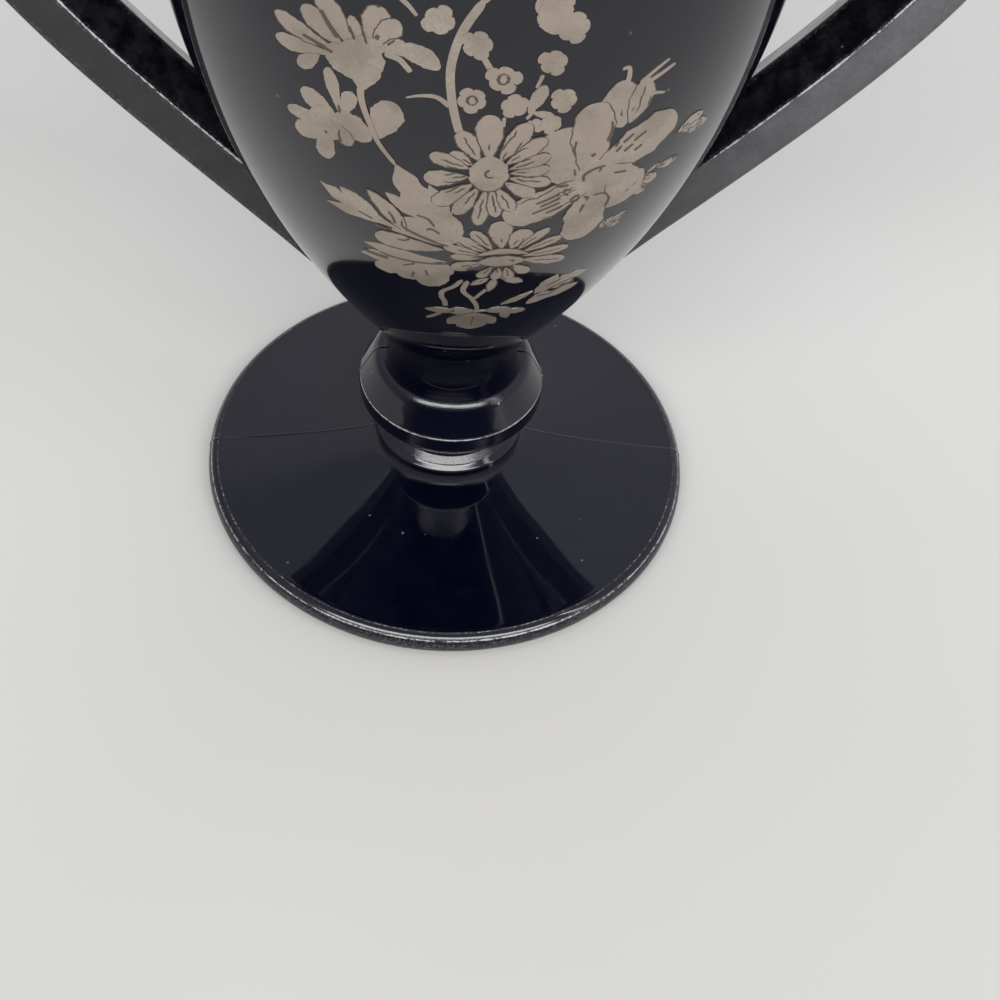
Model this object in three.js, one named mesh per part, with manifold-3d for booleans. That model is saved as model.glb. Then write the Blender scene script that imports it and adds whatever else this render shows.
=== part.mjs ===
// Trophy vase: a footed cup of pressed black glass with two loop handles and a silver spray of flowers.
// The glass comes from a two-part mould and a plunger, so it is modelled zone by zone:
// foot, knop, neck, bowl and the two handles, each zone a mesh of its own.
// Millimetres, +Z up, origin at the centre of the standing ring, handles along X, front along -Y.
import * as THREE from "three";
import { mergeVertices } from "three/addons/utils/BufferGeometryUtils.js";
import Module from "manifold-3d";

// Foot
const FOOT_RADIUS = 53.2;
const FOOT_EDGE_THICKNESS = 5.8;
const FOOT_HEIGHT = 15.5;
const FOOT_CROWN_HEIGHT = 11.2;
const STANDING_RING_WIDTH = 7;
const FOOT_RECESS_DEPTH = 3.5;
const FOOT_RECESS_FLATNESS = 0.7;
const FOOT_SLOPE_TURN_INWARD = 0.63;
const FOOT_SLOPE_TURN_UPWARD = 0.34;
const STEM_RADIUS = 14.7;
const STEM_COVE_WIDTH = 3.3;
const STEM_COVE_TURN = 0.25;

// Knop, the double-cone swelling of the stem
const KNOP_RADIUS = 19.5;
const KNOP_HEIGHT = 20.5;
const KNOP_BELT_START = 8;
const KNOP_BELT_END = 13.2;
const KNOP_SHOULDER_RADIUS = 16.3;
const KNOP_SHOULDER_HEIGHT = 19.4;
const KNOP_ROUND = 0.8;
const KNOP_ROUND_HEIGHT = 2.4;

// Neck between knop and bowl
const NECK_FOOT_RADIUS = 14.3;
const NECK_WAIST_RADIUS = 13;
const NECK_HEIGHT = 13.8;
const NECK_FLARE_SLOPE = 0.45;

// Bowl
const BOWL_HEIGHT = 153.4;
const BOWL_BASE_RADIUS = 17.1;
const BOWL_RADIUS = 51.6;
const BOWL_WIDEST_HEIGHT = 100.2;
const BOWL_WAISTING = 0.8;
const RIM_RADIUS = 55;
const RIM_FLARE_POWER = 4;
const WALL_THICKNESS = 4.6;
const FLOOR_THICKNESS = 12.5;

// Handles, straps with a ridge on both faces where the mould halves met
const STRAP_WIDTH = 15.6;
const STRAP_DEPTH = 7.2;
const HANDLE_REACH = 86;
const HANDLE_ROOT_ABOVE_BOWL_BASE = 17.5;
const HANDLE_ROOT_ANGLE = THREE.MathUtils.degToRad(48.6);
const HANDLE_ROOT_PULL = 42.8;
const HANDLE_WIDEST_PULL = 34.2;
const HANDLE_TOP_BELOW_RIM = 19.5;
const HANDLE_CROOK_RISE = 22.7;
const HANDLE_TOP_STRAIGHT = 22;
const HANDLE_ROOT_BURIED = 9;
const OPENING_DRAFT = 3.4;
const OPENING_OVERRUN = 1;
const OUTSIDE_DRAFT = 2;
const PARTING_FLAT = 0.6;

// Clearance that keeps a handle just off the bowl that it is cut to
const HANDLE_CLEARANCE = 0.3;

// Silver film on the bowl's front. It is drawn flat, in units that follow the bowl: so many of them make
// its radius at the widest point, and so many the height from its base to that point.
const SILVER_THICKNESS = 0.4;
const SILVER_CLEARANCE = 0.3;
const UNITS_ACROSS = 51.6;
const UNITS_UP = 100.2;
const DAISY_PETALS = 16;
const SIDE_DAISY_PETALS = 13;
const DRAWN = {
  stem: 2,
  twig: 1.3,
  posy: 2.6,
  petal: 3.6,
  daisyReach: 9.4,
  daisyRise: 11.4,
  sideDaisyRise: 9.7,
};

// Two points closer than this are one
const SAME_POINT = 1e-3;

// Facets
const TURNS = 56;
const PROFILE_STEPS = 4;
const STRAP_STEPS = 12;
const SIDE_RINGS = 13;
const MOUTH_RINGS = 6;
const LIP_STEPS = 6;
const BLADE_STEPS = 3;
const VINE_STEPS = 2;
const DISC_SIDES = 8;
const CLIMB_STEPS = 8;

// Heights where one zone ends and the next begins
const knopBase = FOOT_HEIGHT;
const neckBase = knopBase + KNOP_HEIGHT;
const bowlBase = neckBase + NECK_HEIGHT;
const rimHeight = bowlBase + BOWL_HEIGHT;
const widestHeight = bowlBase + BOWL_WIDEST_HEIGHT;
const floorHeight = bowlBase + FLOOR_THICKNESS;
const handleTopHeight = rimHeight - HANDLE_TOP_BELOW_RIM;
const handleWidestHeight = handleTopHeight - HANDLE_CROOK_RISE;
const handleRootHeight = bowlBase + HANDLE_ROOT_ABOVE_BOWL_BASE;

// Turns a (radius, height) profile round the Z axis.
function turned(profile) {
  const geometry = new THREE.LatheGeometry(profile, TURNS);
  return geometry.rotateX(Math.PI / 2);
}

// Share of the way from the widest point to the rim, 0 at the widest point and 1 at the rim.
function mouthShare(height) {
  return (height - widestHeight) / (rimHeight - widestHeight);
}

// Outer radius of the bowl: a parabola up to the widest point, then a slight waist and a flared mouth.
function bowlRadius(height) {
  if (height <= widestHeight) {
    const left = (widestHeight - height) / BOWL_WIDEST_HEIGHT;
    return BOWL_RADIUS - (BOWL_RADIUS - BOWL_BASE_RADIUS) * left ** 2;
  }
  const share = mouthShare(height);
  const flare = (RIM_RADIUS - BOWL_RADIUS) * share ** RIM_FLARE_POWER;
  return BOWL_RADIUS - BOWL_WAISTING * Math.sin(Math.PI * share) ** 2 + flare;
}

// Radius of the cavity: a round bottom that opens upwards all the way, so that the plunger comes out.
function cavityRadius(height) {
  const widest = BOWL_RADIUS - WALL_THICKNESS;
  if (height <= widestHeight) {
    const left = (widestHeight - height) / (widestHeight - floorHeight);
    return widest * Math.sqrt(Math.max(0, 1 - left ** 2));
  }
  return widest + (RIM_RADIUS - BOWL_RADIUS) * mouthShare(height) ** RIM_FLARE_POWER;
}

// Heights from low to high in equal steps of angle, close together at the low end.
function easedHeights(low, high, steps) {
  const heights = [];
  for (let i = 0; i <= steps; i++) {
    heights.push(low + (high - low) * (1 - Math.cos((i / steps) * (Math.PI / 2))));
  }
  return heights;
}

function footGeometry() {
  const edgeRadius = FOOT_EDGE_THICKNESS / 2;
  const edgeCentre = FOOT_RADIUS - edgeRadius;
  const ringInside = edgeCentre - STANDING_RING_WIDTH;
  const coveStart = STEM_RADIUS + STEM_COVE_WIDTH;
  const slopeMiddle = THREE.MathUtils.lerp(edgeCentre, coveStart, FOOT_SLOPE_TURN_INWARD);
  const slopeRise = THREE.MathUtils.lerp(FOOT_EDGE_THICKNESS, FOOT_CROWN_HEIGHT, FOOT_SLOPE_TURN_UPWARD);
  const coveMiddle = THREE.MathUtils.lerp(FOOT_CROWN_HEIGHT, FOOT_HEIGHT, STEM_COVE_TURN);
  const profile = new THREE.Path();
  profile.moveTo(0, FOOT_RECESS_DEPTH);
  profile.quadraticCurveTo(ringInside * FOOT_RECESS_FLATNESS, FOOT_RECESS_DEPTH, ringInside, 0);
  profile.lineTo(edgeCentre, 0);
  profile.absarc(edgeCentre, edgeRadius, edgeRadius, -Math.PI / 2, Math.PI / 2, false);
  profile.quadraticCurveTo(slopeMiddle, slopeRise, coveStart, FOOT_CROWN_HEIGHT);
  profile.quadraticCurveTo(STEM_RADIUS, coveMiddle, STEM_RADIUS, FOOT_HEIGHT);
  profile.lineTo(0, FOOT_HEIGHT);
  return turned(profile.getPoints(PROFILE_STEPS));
}

function knopGeometry() {
  const beltStart = knopBase + KNOP_BELT_START;
  const beltEnd = knopBase + KNOP_BELT_END;
  const shoulder = knopBase + KNOP_SHOULDER_HEIGHT;
  const profile = new THREE.Path();
  profile.moveTo(0, knopBase);
  profile.lineTo(STEM_RADIUS, knopBase);
  profile.lineTo(KNOP_RADIUS - KNOP_ROUND, beltStart);
  profile.quadraticCurveTo(KNOP_RADIUS, beltStart + KNOP_ROUND, KNOP_RADIUS, beltStart + KNOP_ROUND_HEIGHT);
  profile.lineTo(KNOP_RADIUS, beltEnd);
  profile.lineTo(KNOP_SHOULDER_RADIUS, shoulder);
  profile.quadraticCurveTo(KNOP_SHOULDER_RADIUS - KNOP_ROUND, neckBase, NECK_FOOT_RADIUS, neckBase);
  profile.lineTo(0, neckBase);
  return turned(profile.getPoints(PROFILE_STEPS));
}

function neckGeometry() {
  const third = NECK_HEIGHT / 3;
  const profile = new THREE.Path();
  profile.moveTo(0, neckBase);
  profile.lineTo(NECK_FOOT_RADIUS, neckBase);
  profile.bezierCurveTo(
    NECK_WAIST_RADIUS,
    neckBase + third,
    BOWL_BASE_RADIUS - NECK_FLARE_SLOPE * third,
    bowlBase - third,
    BOWL_BASE_RADIUS,
    bowlBase,
  );
  profile.lineTo(0, bowlBase);
  return turned(profile.getPoints(PROFILE_STEPS));
}

function bowlGeometry() {
  const lipRadius = WALL_THICKNESS / 2;
  const lipBase = rimHeight - lipRadius;
  const lipCentre = bowlRadius(lipBase) - lipRadius;
  const point = (radius, height) => new THREE.Vector2(radius, height);
  const profile = [point(0, bowlBase)];
  for (let i = 0; i <= SIDE_RINGS; i++) {
    const height = bowlBase + (BOWL_WIDEST_HEIGHT * i) / SIDE_RINGS;
    profile.push(point(bowlRadius(height), height));
  }
  for (let i = 1; i < MOUTH_RINGS; i++) {
    const height = widestHeight + ((lipBase - widestHeight) * i) / MOUTH_RINGS;
    profile.push(point(bowlRadius(height), height));
  }
  for (let i = 0; i <= LIP_STEPS; i++) {
    const angle = (Math.PI * i) / LIP_STEPS;
    profile.push(point(lipCentre + lipRadius * Math.cos(angle), lipBase + lipRadius * Math.sin(angle)));
  }
  for (let i = MOUTH_RINGS - 1; i > 0; i--) {
    const height = widestHeight + ((lipBase - widestHeight) * i) / MOUTH_RINGS;
    profile.push(point(cavityRadius(height), height));
  }
  for (const height of easedHeights(floorHeight, widestHeight, SIDE_RINGS).reverse()) {
    profile.push(point(cavityRadius(height), height));
  }
  return turned(profile);
}

// Centre line of the right-hand strap in the XZ plane, from inside the bowl's side to inside its mouth.
function strapCentreLine() {
  const rise = new THREE.Vector2(Math.cos(HANDLE_ROOT_ANGLE), Math.sin(HANDLE_ROOT_ANGLE));
  const root = new THREE.Vector2(bowlRadius(handleRootHeight) - STRAP_DEPTH / 2, handleRootHeight);
  const start = root.clone().addScaledVector(rise, -HANDLE_ROOT_BURIED);
  const widest = new THREE.Vector2(HANDLE_REACH, handleWidestHeight);
  const topEnd = new THREE.Vector2(bowlRadius(handleTopHeight), handleTopHeight);
  const shoulder = new THREE.Vector2(HANDLE_REACH, (handleTopHeight + handleWidestHeight) / 2);
  const inside = new THREE.Vector2(start.x, handleTopHeight);
  const line = new THREE.CurvePath();
  line.add(new THREE.LineCurve(start, root));
  line.add(
    new THREE.CubicBezierCurve(
      root,
      root.clone().addScaledVector(rise, HANDLE_ROOT_PULL),
      new THREE.Vector2(HANDLE_REACH, handleWidestHeight - HANDLE_WIDEST_PULL),
      widest,
    ),
  );
  line.add(
    new THREE.CubicBezierCurve(
      widest,
      shoulder,
      new THREE.Vector2(topEnd.x + HANDLE_TOP_STRAIGHT, handleTopHeight),
      topEnd,
    ),
  );
  line.add(new THREE.LineCurve(topEnd, inside));
  return line;
}

// Points beside the strap's centre line, a distance to its outer side where the distance is positive.
function besideStrap(distance) {
  const points = [];
  for (const curve of strapCentreLine().curves) {
    const steps = curve.isLineCurve ? 1 : STRAP_STEPS;
    for (let i = points.length ? 1 : 0; i <= steps; i++) {
      const tangent = curve.getTangent(i / steps);
      const outward = new THREE.Vector2(tangent.y, -tangent.x);
      points.push(curve.getPoint(i / steps).addScaledVector(outward, distance));
    }
  }
  return points;
}

// A plate in the XZ plane whose outline moves out by draft from its two faces to the parting line.
// Past the faces it runs on by overrun, with its walls at the same slope.
function draftedPlate(outline, draft, overrun = 0) {
  const halfWidth = STRAP_WIDTH / 2;
  const slope = draft / (halfWidth - PARTING_FLAT / 2);
  const geometry = new THREE.ExtrudeGeometry(new THREE.Shape(outline), {
    depth: PARTING_FLAT,
    bevelThickness: halfWidth + overrun - PARTING_FLAT / 2,
    bevelSize: draft + slope * overrun,
    bevelOffset: -slope * overrun,
    bevelSegments: 1,
  });
  geometry.translate(0, 0, -PARTING_FLAT / 2);
  return geometry.rotateX(Math.PI / 2);
}

// Closed outline between a line of points and the same height range close to the vase's axis.
function closedToAxis(points) {
  const first = points[0];
  const last = points[points.length - 1];
  const nearAxis = Math.min(first.x, last.x);
  return [...points, new THREE.Vector2(nearAxis, last.y), new THREE.Vector2(nearAxis, first.y)];
}

// The same outline without points that repeat the one before.
function withoutRepeats(points) {
  return points.filter((p, i) => p.distanceTo(points[(i + 1) % points.length]) > SAME_POINT);
}

const wasm = await Module();
wasm.setup();

function solidFrom(geometry) {
  const bare = geometry.index ? geometry.toNonIndexed() : geometry.clone();
  bare.deleteAttribute("normal");
  bare.deleteAttribute("uv");
  const merged = mergeVertices(bare, 1e-4);
  const vertProperties = merged.attributes.position.array;
  const triVerts = new Uint32Array(merged.index.array);
  return new wasm.Manifold(new wasm.Mesh({ numProp: 3, vertProperties, triVerts }));
}

function geometryFrom(solid) {
  const mesh = solid.getMesh();
  const geometry = new THREE.BufferGeometry();
  geometry.setAttribute("position", new THREE.BufferAttribute(new Float32Array(mesh.vertProperties), 3));
  geometry.setIndex(new THREE.BufferAttribute(new Uint32Array(mesh.triVerts), 1));
  return geometry;
}

// Everything inside the bowl's outer surface and its clearance, as one solid of revolution.
function bowlEnvelope() {
  const profile = [new THREE.Vector2(0, bowlBase)];
  for (let i = 0; i <= SIDE_RINGS; i++) {
    const height = bowlBase + (BOWL_WIDEST_HEIGHT * i) / SIDE_RINGS;
    profile.push(new THREE.Vector2(bowlRadius(height) + HANDLE_CLEARANCE, height));
  }
  for (let i = 1; i <= MOUTH_RINGS; i++) {
    const height = widestHeight + ((rimHeight - widestHeight) * i) / MOUTH_RINGS;
    profile.push(new THREE.Vector2(bowlRadius(height) + HANDLE_CLEARANCE, height));
  }
  profile.push(new THREE.Vector2(0, rimHeight));
  return solidFrom(turned(profile));
}

// Right-hand handle: the strap, and the web at its root that fades into the bowl's side.
function handleGeometry() {
  const halfDepth = STRAP_DEPTH / 2;
  const outside = withoutRepeats(closedToAxis(besideStrap(halfDepth)));
  const loop = withoutRepeats(closedToAxis(besideStrap(-halfDepth)));
  const full = solidFrom(draftedPlate(outside, OUTSIDE_DRAFT));
  const opening = solidFrom(draftedPlate(loop, -OPENING_DRAFT, OPENING_OVERRUN));
  return geometryFrom(full.subtract(opening).subtract(bowlEnvelope()));
}

// Height reached from a height on the bowl's side after a climb measured along the side.
function climbed(height, climb) {
  let reached = height;
  for (let i = 0; i < CLIMB_STEPS; i++) {
    const slope = (bowlRadius(reached + 1) - bowlRadius(reached - 1)) / 2;
    reached += climb / CLIMB_STEPS / Math.hypot(1, slope);
  }
  return reached;
}

// Front view of flat outlines laid on the bowl. Their origin comes to a turn from the front, in degrees
// to the right, and a rise over the bowl's base. Their x runs round the bowl and their y up its side.
function laidOn(turn, rise, outlines) {
  const across = BOWL_RADIUS / UNITS_ACROSS;
  const up = BOWL_WIDEST_HEIGHT / UNITS_UP;
  const middle = bowlBase + rise * up;
  return outlines.map((outline) =>
    outline.map((point) => {
      const height = climbed(middle, point.y * up);
      const radius = bowlRadius(height);
      const angle = THREE.MathUtils.degToRad(turn) + (2 * point.x * across) / (radius + bowlRadius(middle));
      return new THREE.Vector2(radius * Math.sin(angle), height);
    }),
  );
}

// Outline of a petal or leaf. Fullness near 1 makes its tip blunt, near 0 pointed.
function blade([baseX, baseY], [tipX, tipY], width, fullness = 0.9) {
  const base = new THREE.Vector2(baseX, baseY);
  const tip = new THREE.Vector2(tipX, tipY);
  const axis = tip.clone().sub(base);
  const side = new THREE.Vector2(-axis.y, axis.x).setLength(width);
  const edge = (sign) =>
    new THREE.CubicBezierCurve(
      base,
      base.clone().addScaledVector(axis, 0.4).addScaledVector(side, 0.5 * sign),
      tip.clone().addScaledVector(axis, -0.05).addScaledVector(side, 0.85 * fullness * sign),
      tip,
    ).getPoints(BLADE_STEPS);
  return [...edge(-1).slice(0, -1), ...edge(1).slice(1).reverse()];
}

// Outline of a stem, a ribbon of one width along a smooth line.
function vine(points, width) {
  const line = new THREE.SplineCurve(points.map(([x, y]) => new THREE.Vector2(x, y)));
  const steps = VINE_STEPS * (points.length - 1);
  const beside = (distance) => {
    const edge = [];
    for (let i = 0; i <= steps; i++) {
      const tangent = line.getTangent(i / steps);
      const outward = new THREE.Vector2(tangent.y, -tangent.x);
      edge.push(line.getPoint(i / steps).addScaledVector(outward, distance));
    }
    return edge;
  };
  return [...beside(width / 2), ...beside(-width / 2).reverse()];
}

// Outline of a small flower, or of the middle of a large one.
function disc(x, y, radius = DRAWN.posy) {
  return new THREE.Path().absarc(x, y, radius, 0, 2 * Math.PI, false).getPoints(DISC_SIDES).slice(0, -1);
}

// Petals from one middle to tips on an oval, evenly spaced over an arc in degrees.
function petalRing(count, startDegrees, endDegrees, reach, rise) {
  const petals = [];
  for (let i = 0; i < count; i++) {
    const angle = THREE.MathUtils.degToRad(THREE.MathUtils.lerp(startDegrees, endDegrees, i / count));
    petals.push(blade([0, 0], [reach * Math.cos(angle), rise * Math.sin(angle)], DRAWN.petal));
  }
  return petals;
}

// Two open lilies and a bud on one branching stem, left of the bowl's front.
function lilyOutlines() {
  const upperLily = laidOn(-17, 90.7, [
    blade([-1.8, -6.9], [-2.1, 1.8], 8.4),
    blade([-2.5, -1], [-14, 1.4], 4),
    blade([-2.2, -2.4], [-14.8, -3.2], 3),
    blade([-2.5, -0.5], [-9.8, 3.4], 4.4),
    blade([-2.5, -0.5], [-7.6, 5.6], 3.8),
    blade([-2, -0.5], [-2.9, 4.2], 3),
    blade([-1, -0.5], [1, 6.7], 4.8),
    blade([-0.5, -0.5], [3.1, 5], 3.8),
    blade([-0.5, -1], [9.3, -1.4], 3.6),
    vine([[-1.7, -6], [-1.4, -10.6], [-0.6, -14.6], [2.6, -20.2]], DRAWN.twig),
  ]);
  const lowerLily = laidOn(-23.2, 76.6, [
    disc(-1.3, -0.3),
    blade([-1.3, 0], [-5.2, 4.1], 3.4),
    blade([-1.3, 0], [-8.9, -1.2], 3),
    blade([-1.3, 0], [-8, -5.1], 3.8),
    blade([-1.3, 0], [-3.5, -8.7], 3.8),
    blade([-1.3, 0], [-1.2, 8.8], 2.4),
    blade([-0.5, 0], [2, 6], 3),
    blade([-1.3, 0], [4.6, -3.2], 4.6),
    vine([[3, -2.2], [5, -3.8], [7, -5]], DRAWN.twig),
  ]);
  const bud = laidOn(-14.3, 80, [blade([-3.3, -6], [0.4, 2.8], 5)]);
  return [...upperLily, ...lowerLily, ...bud];
}

// The main bunch: a tall stem with small flowers and a lily on top, two daisies, an open rose with a
// half-open flower over it, and leaves and twigs below.
function bunchOutlines() {
  const lowerStem = [[0.6, -1.2], [-1, 5.3], [-1.1, 10.6], [0.1, 16], [2.4, 20.4]];
  const upperStem = [[5, 25], [6.2, 30.5], [5.2, 37]];
  const stem = laidOn(-3.7, 79.8, [
    vine([...lowerStem, ...upperStem], DRAWN.stem),
    vine([[-1.1, 3.6], [-3.4, 5], [-7.2, 4.2]], DRAWN.twig),
  ]);
  const posies = laidOn(-1.6, 93.7, [
    disc(-5, 3.2),
    disc(0.2, 0.2),
    disc(4, -5.3),
    disc(5.8, -9.6),
    disc(10.4, -2.7),
    disc(12.4, -9.4),
    disc(10, 5.2, 3.8),
    disc(12.7, 2, 3.6),
    disc(8.9, 11, 3.2),
    vine([[0.2, 0.2], [2.4, -3], [4, -5.3]], DRAWN.twig),
    vine([[10.4, -2.7], [8.8, -7.2], [7.4, -12.4]], DRAWN.twig),
    vine([[12.4, -9.4], [10, -11], [7.4, -12.4]], DRAWN.twig),
  ]);
  const topLily = laidOn(3.6, 120, [
    vine([[-3, -12.6], [-0.6, -8], [0.2, -4]], DRAWN.twig),
    blade([0.2, -5], [0.9, 2.6], 6.2),
    blade([0.6, 0], [-5.6, 5.4], 4.2),
    blade([0.6, 0], [-1.2, 8.6], 4.2),
    blade([0.6, 0], [3.8, 7.8], 3.8),
    blade([0.6, 0], [7.2, 4.2], 3.6),
  ]);
  const upperDaisy = laidOn(1.9, 70.7, petalRing(DAISY_PETALS, 0, 360, DRAWN.daisyReach, DRAWN.daisyRise));
  const rose = laidOn(21.5, 68.1, [
    disc(0, 0),
    blade([0, 0], [-8.8, 9], 10),
    blade([0, 0], [-2.4, 13.9], 6.8),
    blade([0, 0], [11.6, 8.4], 8.4),
    blade([0, 0], [10.2, -9.2], 8.8),
    blade([0, 0], [2, -16.2], 8.6),
    blade([0, 0], [-12.6, -10], 8.2),
  ]);
  const halfOpenFlower = laidOn(23.4, 82.1, [
    blade([-0.4, -7], [-1.2, 4.4], 6.2),
    blade([0.6, -7], [2.4, 3.9], 4.6),
    vine([[1.6, 2.6], [3.6, 4.6], [5.7, 6.2]], DRAWN.twig),
  ]);
  const lowerDaisy = laidOn(6.8, 49.6, [
    ...petalRing(SIDE_DAISY_PETALS, -20, 200, DRAWN.daisyReach, DRAWN.sideDaisyRise),
    disc(0, -1, 5),
    blade([0, 0], [-7.9, -3.4], DRAWN.petal),
    blade([0, -3], [-1, -12], DRAWN.posy),
    blade([0, -3], [4.6, -9], DRAWN.posy),
  ]);
  const leftLeaves = laidOn(-3.5, 53.7, [
    blade([1.5, -1], [-8.2, 16.8], 7, 0.4),
    blade([-1.6, 2.6], [-0.6, 9.4], 3.6, 0.4),
    blade([-3.4, 6], [-10, 9.8], 3.6, 0.4),
    blade([0.5, 0.4], [-8.6, 5.6], 3.9),
    vine([[-10, 2.5], [-6, 1.4], [0, -0.8]], DRAWN.twig),
    blade([-8, 2], [-20.8, 8.2], 4.2, 0.4),
    blade([-8.2, 2], [-13, 9.2], 3, 0.4),
    blade([0.5, -1.6], [-12.5, -0.3], 3.6),
  ]);
  const lowLeaves = laidOn(-5.6, 48.8, [
    blade([5.5, -0.6], [-12.6, -1.1], 3.4, 0.5),
    blade([3.5, -0.8], [-13.6, -7.2], 4.8, 0.5),
    blade([3.5, -0.8], [-3.6, -9.4], 4.4, 0.6),
  ]);
  const rightLeaves = laidOn(17.5, 37.9, [
    blade([-6, 6], [8.8, 10.4], 3.6, 0.5),
    blade([-2.4, 6.5], [1.6, -2], 3.6, 0.6),
    blade([0, 0], [7.4, 3.4], 3, 0.5),
    blade([0.6, 0], [0.2, -8.4], 3, 0.5),
  ]);
  const twigs = laidOn(4.4, 25.6, [
    vine([[2.5, 18.5], [-1.5, 13.6], [-0.6, 9], [-0.5, 2]], DRAWN.twig),
    blade([-0.6, 4.6], [-8.2, 3.4], 2.6, 0.5),
    blade([-0.6, 4.2], [8.3, 2.8], 2.6, 0.5),
    blade([-0.6, 5], [-0.3, -5.6], 4),
    blade([-0.8, 4], [-4.2, -4.8], 3, 0.5),
    blade([-0.2, 4], [4.2, -1.4], 2.8, 0.5),
  ]);
  return [
    ...stem,
    ...posies,
    ...topLily,
    ...upperDaisy,
    ...rose,
    ...halfOpenFlower,
    ...lowerDaisy,
    ...leftLeaves,
    ...lowLeaves,
    ...rightLeaves,
    ...twigs,
  ];
}

// A skin just off the bowl's side, all round and from its base to the height of the handles' tops.
function silverSkin() {
  const heights = [];
  for (let i = 0; i <= SIDE_RINGS; i++) {
    heights.push(bowlBase + (BOWL_WIDEST_HEIGHT * i) / SIDE_RINGS);
  }
  for (let i = 1; i < MOUTH_RINGS; i++) {
    heights.push(widestHeight + ((rimHeight - WALL_THICKNESS / 2 - widestHeight) * i) / MOUTH_RINGS);
  }
  const at = (distance) => heights.map((height) => new THREE.Vector2(bowlRadius(height) + distance, height));
  const inside = at(SILVER_CLEARANCE);
  const outside = at(SILVER_CLEARANCE + SILVER_THICKNESS);
  return solidFrom(turned([...inside.reverse(), ...outside, inside[0]]));
}

// The part of the skin that lies behind the outlines, as seen from the front.
function silverGeometry(outlines) {
  const cutters = outlines.map((outline) => {
    const prism = new THREE.ExtrudeGeometry(new THREE.Shape(outline), {
      depth: RIM_RADIUS + BOWL_RADIUS,
      bevelEnabled: false,
    });
    return solidFrom(prism.rotateX(Math.PI / 2));
  });
  return geometryFrom(wasm.Manifold.union(cutters).intersect(silverSkin()));
}

// Black glass is so dark a violet that it looks black, with a fire-polished gloss.
function blackGlass(roughness) {
  return new THREE.MeshStandardMaterial({ color: 0x08080f, roughness, metalness: 0 });
}

const vase = new THREE.Group();

// Matt silver, warm with age.
function agedSilver() {
  return new THREE.MeshStandardMaterial({ color: 0xb3a08f, roughness: 0.45, metalness: 1 });
}

function addPiece(name, geometry, material) {
  const mesh = new THREE.Mesh(geometry, material);
  mesh.name = name;
  vase.add(mesh);
  return mesh;
}

addPiece("foot", footGeometry(), blackGlass(0.08));
addPiece("knop", knopGeometry(), blackGlass(0.07));
addPiece("neck", neckGeometry(), blackGlass(0.07));
addPiece("bowl", bowlGeometry(), blackGlass(0.06));
addPiece("handle_right", handleGeometry(), blackGlass(0.2));
addPiece("handle_left", handleGeometry(), blackGlass(0.2)).rotation.z = Math.PI;
addPiece("silver_lilies", silverGeometry(lilyOutlines()), agedSilver());
addPiece("silver_bunch", silverGeometry(bunchOutlines()), agedSilver());

export default vase;
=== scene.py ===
"""Looks of a trophy vase: black pressed glass with an engraved silver spray on the front of its cup.

The vase stands on z = 0 with its axis on Z, its handles along X and its front towards -Y. Lengths in
the classes are millimetres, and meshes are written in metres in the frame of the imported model.
"""

import logging
import math
from dataclasses import dataclass, field
from enum import Enum
from typing import Sequence

import bpy
import numpy as np
from mathutils import Matrix, Vector


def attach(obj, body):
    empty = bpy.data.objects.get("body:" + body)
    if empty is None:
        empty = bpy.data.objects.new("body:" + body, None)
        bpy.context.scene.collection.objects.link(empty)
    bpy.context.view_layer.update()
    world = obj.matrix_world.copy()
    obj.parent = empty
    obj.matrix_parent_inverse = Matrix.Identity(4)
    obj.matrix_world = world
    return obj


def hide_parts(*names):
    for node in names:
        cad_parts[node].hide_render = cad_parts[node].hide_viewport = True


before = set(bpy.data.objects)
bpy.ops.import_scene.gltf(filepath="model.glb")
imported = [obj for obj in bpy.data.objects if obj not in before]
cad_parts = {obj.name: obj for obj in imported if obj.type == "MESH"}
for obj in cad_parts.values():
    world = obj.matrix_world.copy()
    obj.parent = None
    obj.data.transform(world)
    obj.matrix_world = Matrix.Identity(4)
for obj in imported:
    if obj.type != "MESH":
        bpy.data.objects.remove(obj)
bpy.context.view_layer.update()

LOG = logging.getLogger("vase")
MM = 0.001
BODY = "root"
Array = np.ndarray
Piece = bpy.types.Object
Material = bpy.types.Material
Socket = bpy.types.NodeSocket
Point = tuple[float, float]
Colour = tuple[float, float, float, float]


class Side(Enum):
    """The two sides that carry a handle, as the sign of X."""

    RIGHT = 1
    LEFT = -1


class Engraving(Enum):
    """How a shape is engraved: outline and strokes, a ring, nothing, an outline alone, or cut all over."""

    COMBED = 0
    EYE = 200
    PLAIN = 400
    OUTLINED = 600
    GROOVE = 800


COMBED, EYE, PLAIN, OUTLINED, GROOVE = Engraving
BLADE_GRID = (31, 13)
VINE_STEPS = 12
VINE_COLUMNS = 7


# Lines and curves


def bell(distance: Array, width: float) -> Array:
    """A bell curve of a distance, 1 at its middle and 1/e at the width."""
    return np.exp(-((distance / width) ** 2))


def square_to(line: Array, *at: Array) -> Array:
    """Unit vectors square to a line, on its right.

    Args:
        line: Points of (count, 2).
        *at: The share of the way at each point, where the steps are uneven.

    Returns:
        Array of (count, 2).
    """
    along = np.gradient(line, *at, axis=0)
    along /= np.linalg.norm(along, axis=1)[:, None]
    return np.stack([along[:, 1], -along[:, 0]], axis=1)


def lengths(line: Array) -> Array:
    """How far each point of a line lies from its start, measured along it."""
    return np.concatenate([[0], np.cumsum(np.linalg.norm(np.diff(line, axis=0), axis=1))])


def straight(a: Point, b: Point, step: float) -> Array:
    """Points on the line from a to b, b left out, at about the given step.

    Args:
        a: Start.
        b: End.
        step: Distance between points.

    Returns:
        Array of (count, 2).
    """
    count = max(1, round(math.dist(a, b) / step))
    share = np.arange(count)[:, None] / count
    return np.array(a) + share * (np.array(b) - np.array(a))


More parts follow.
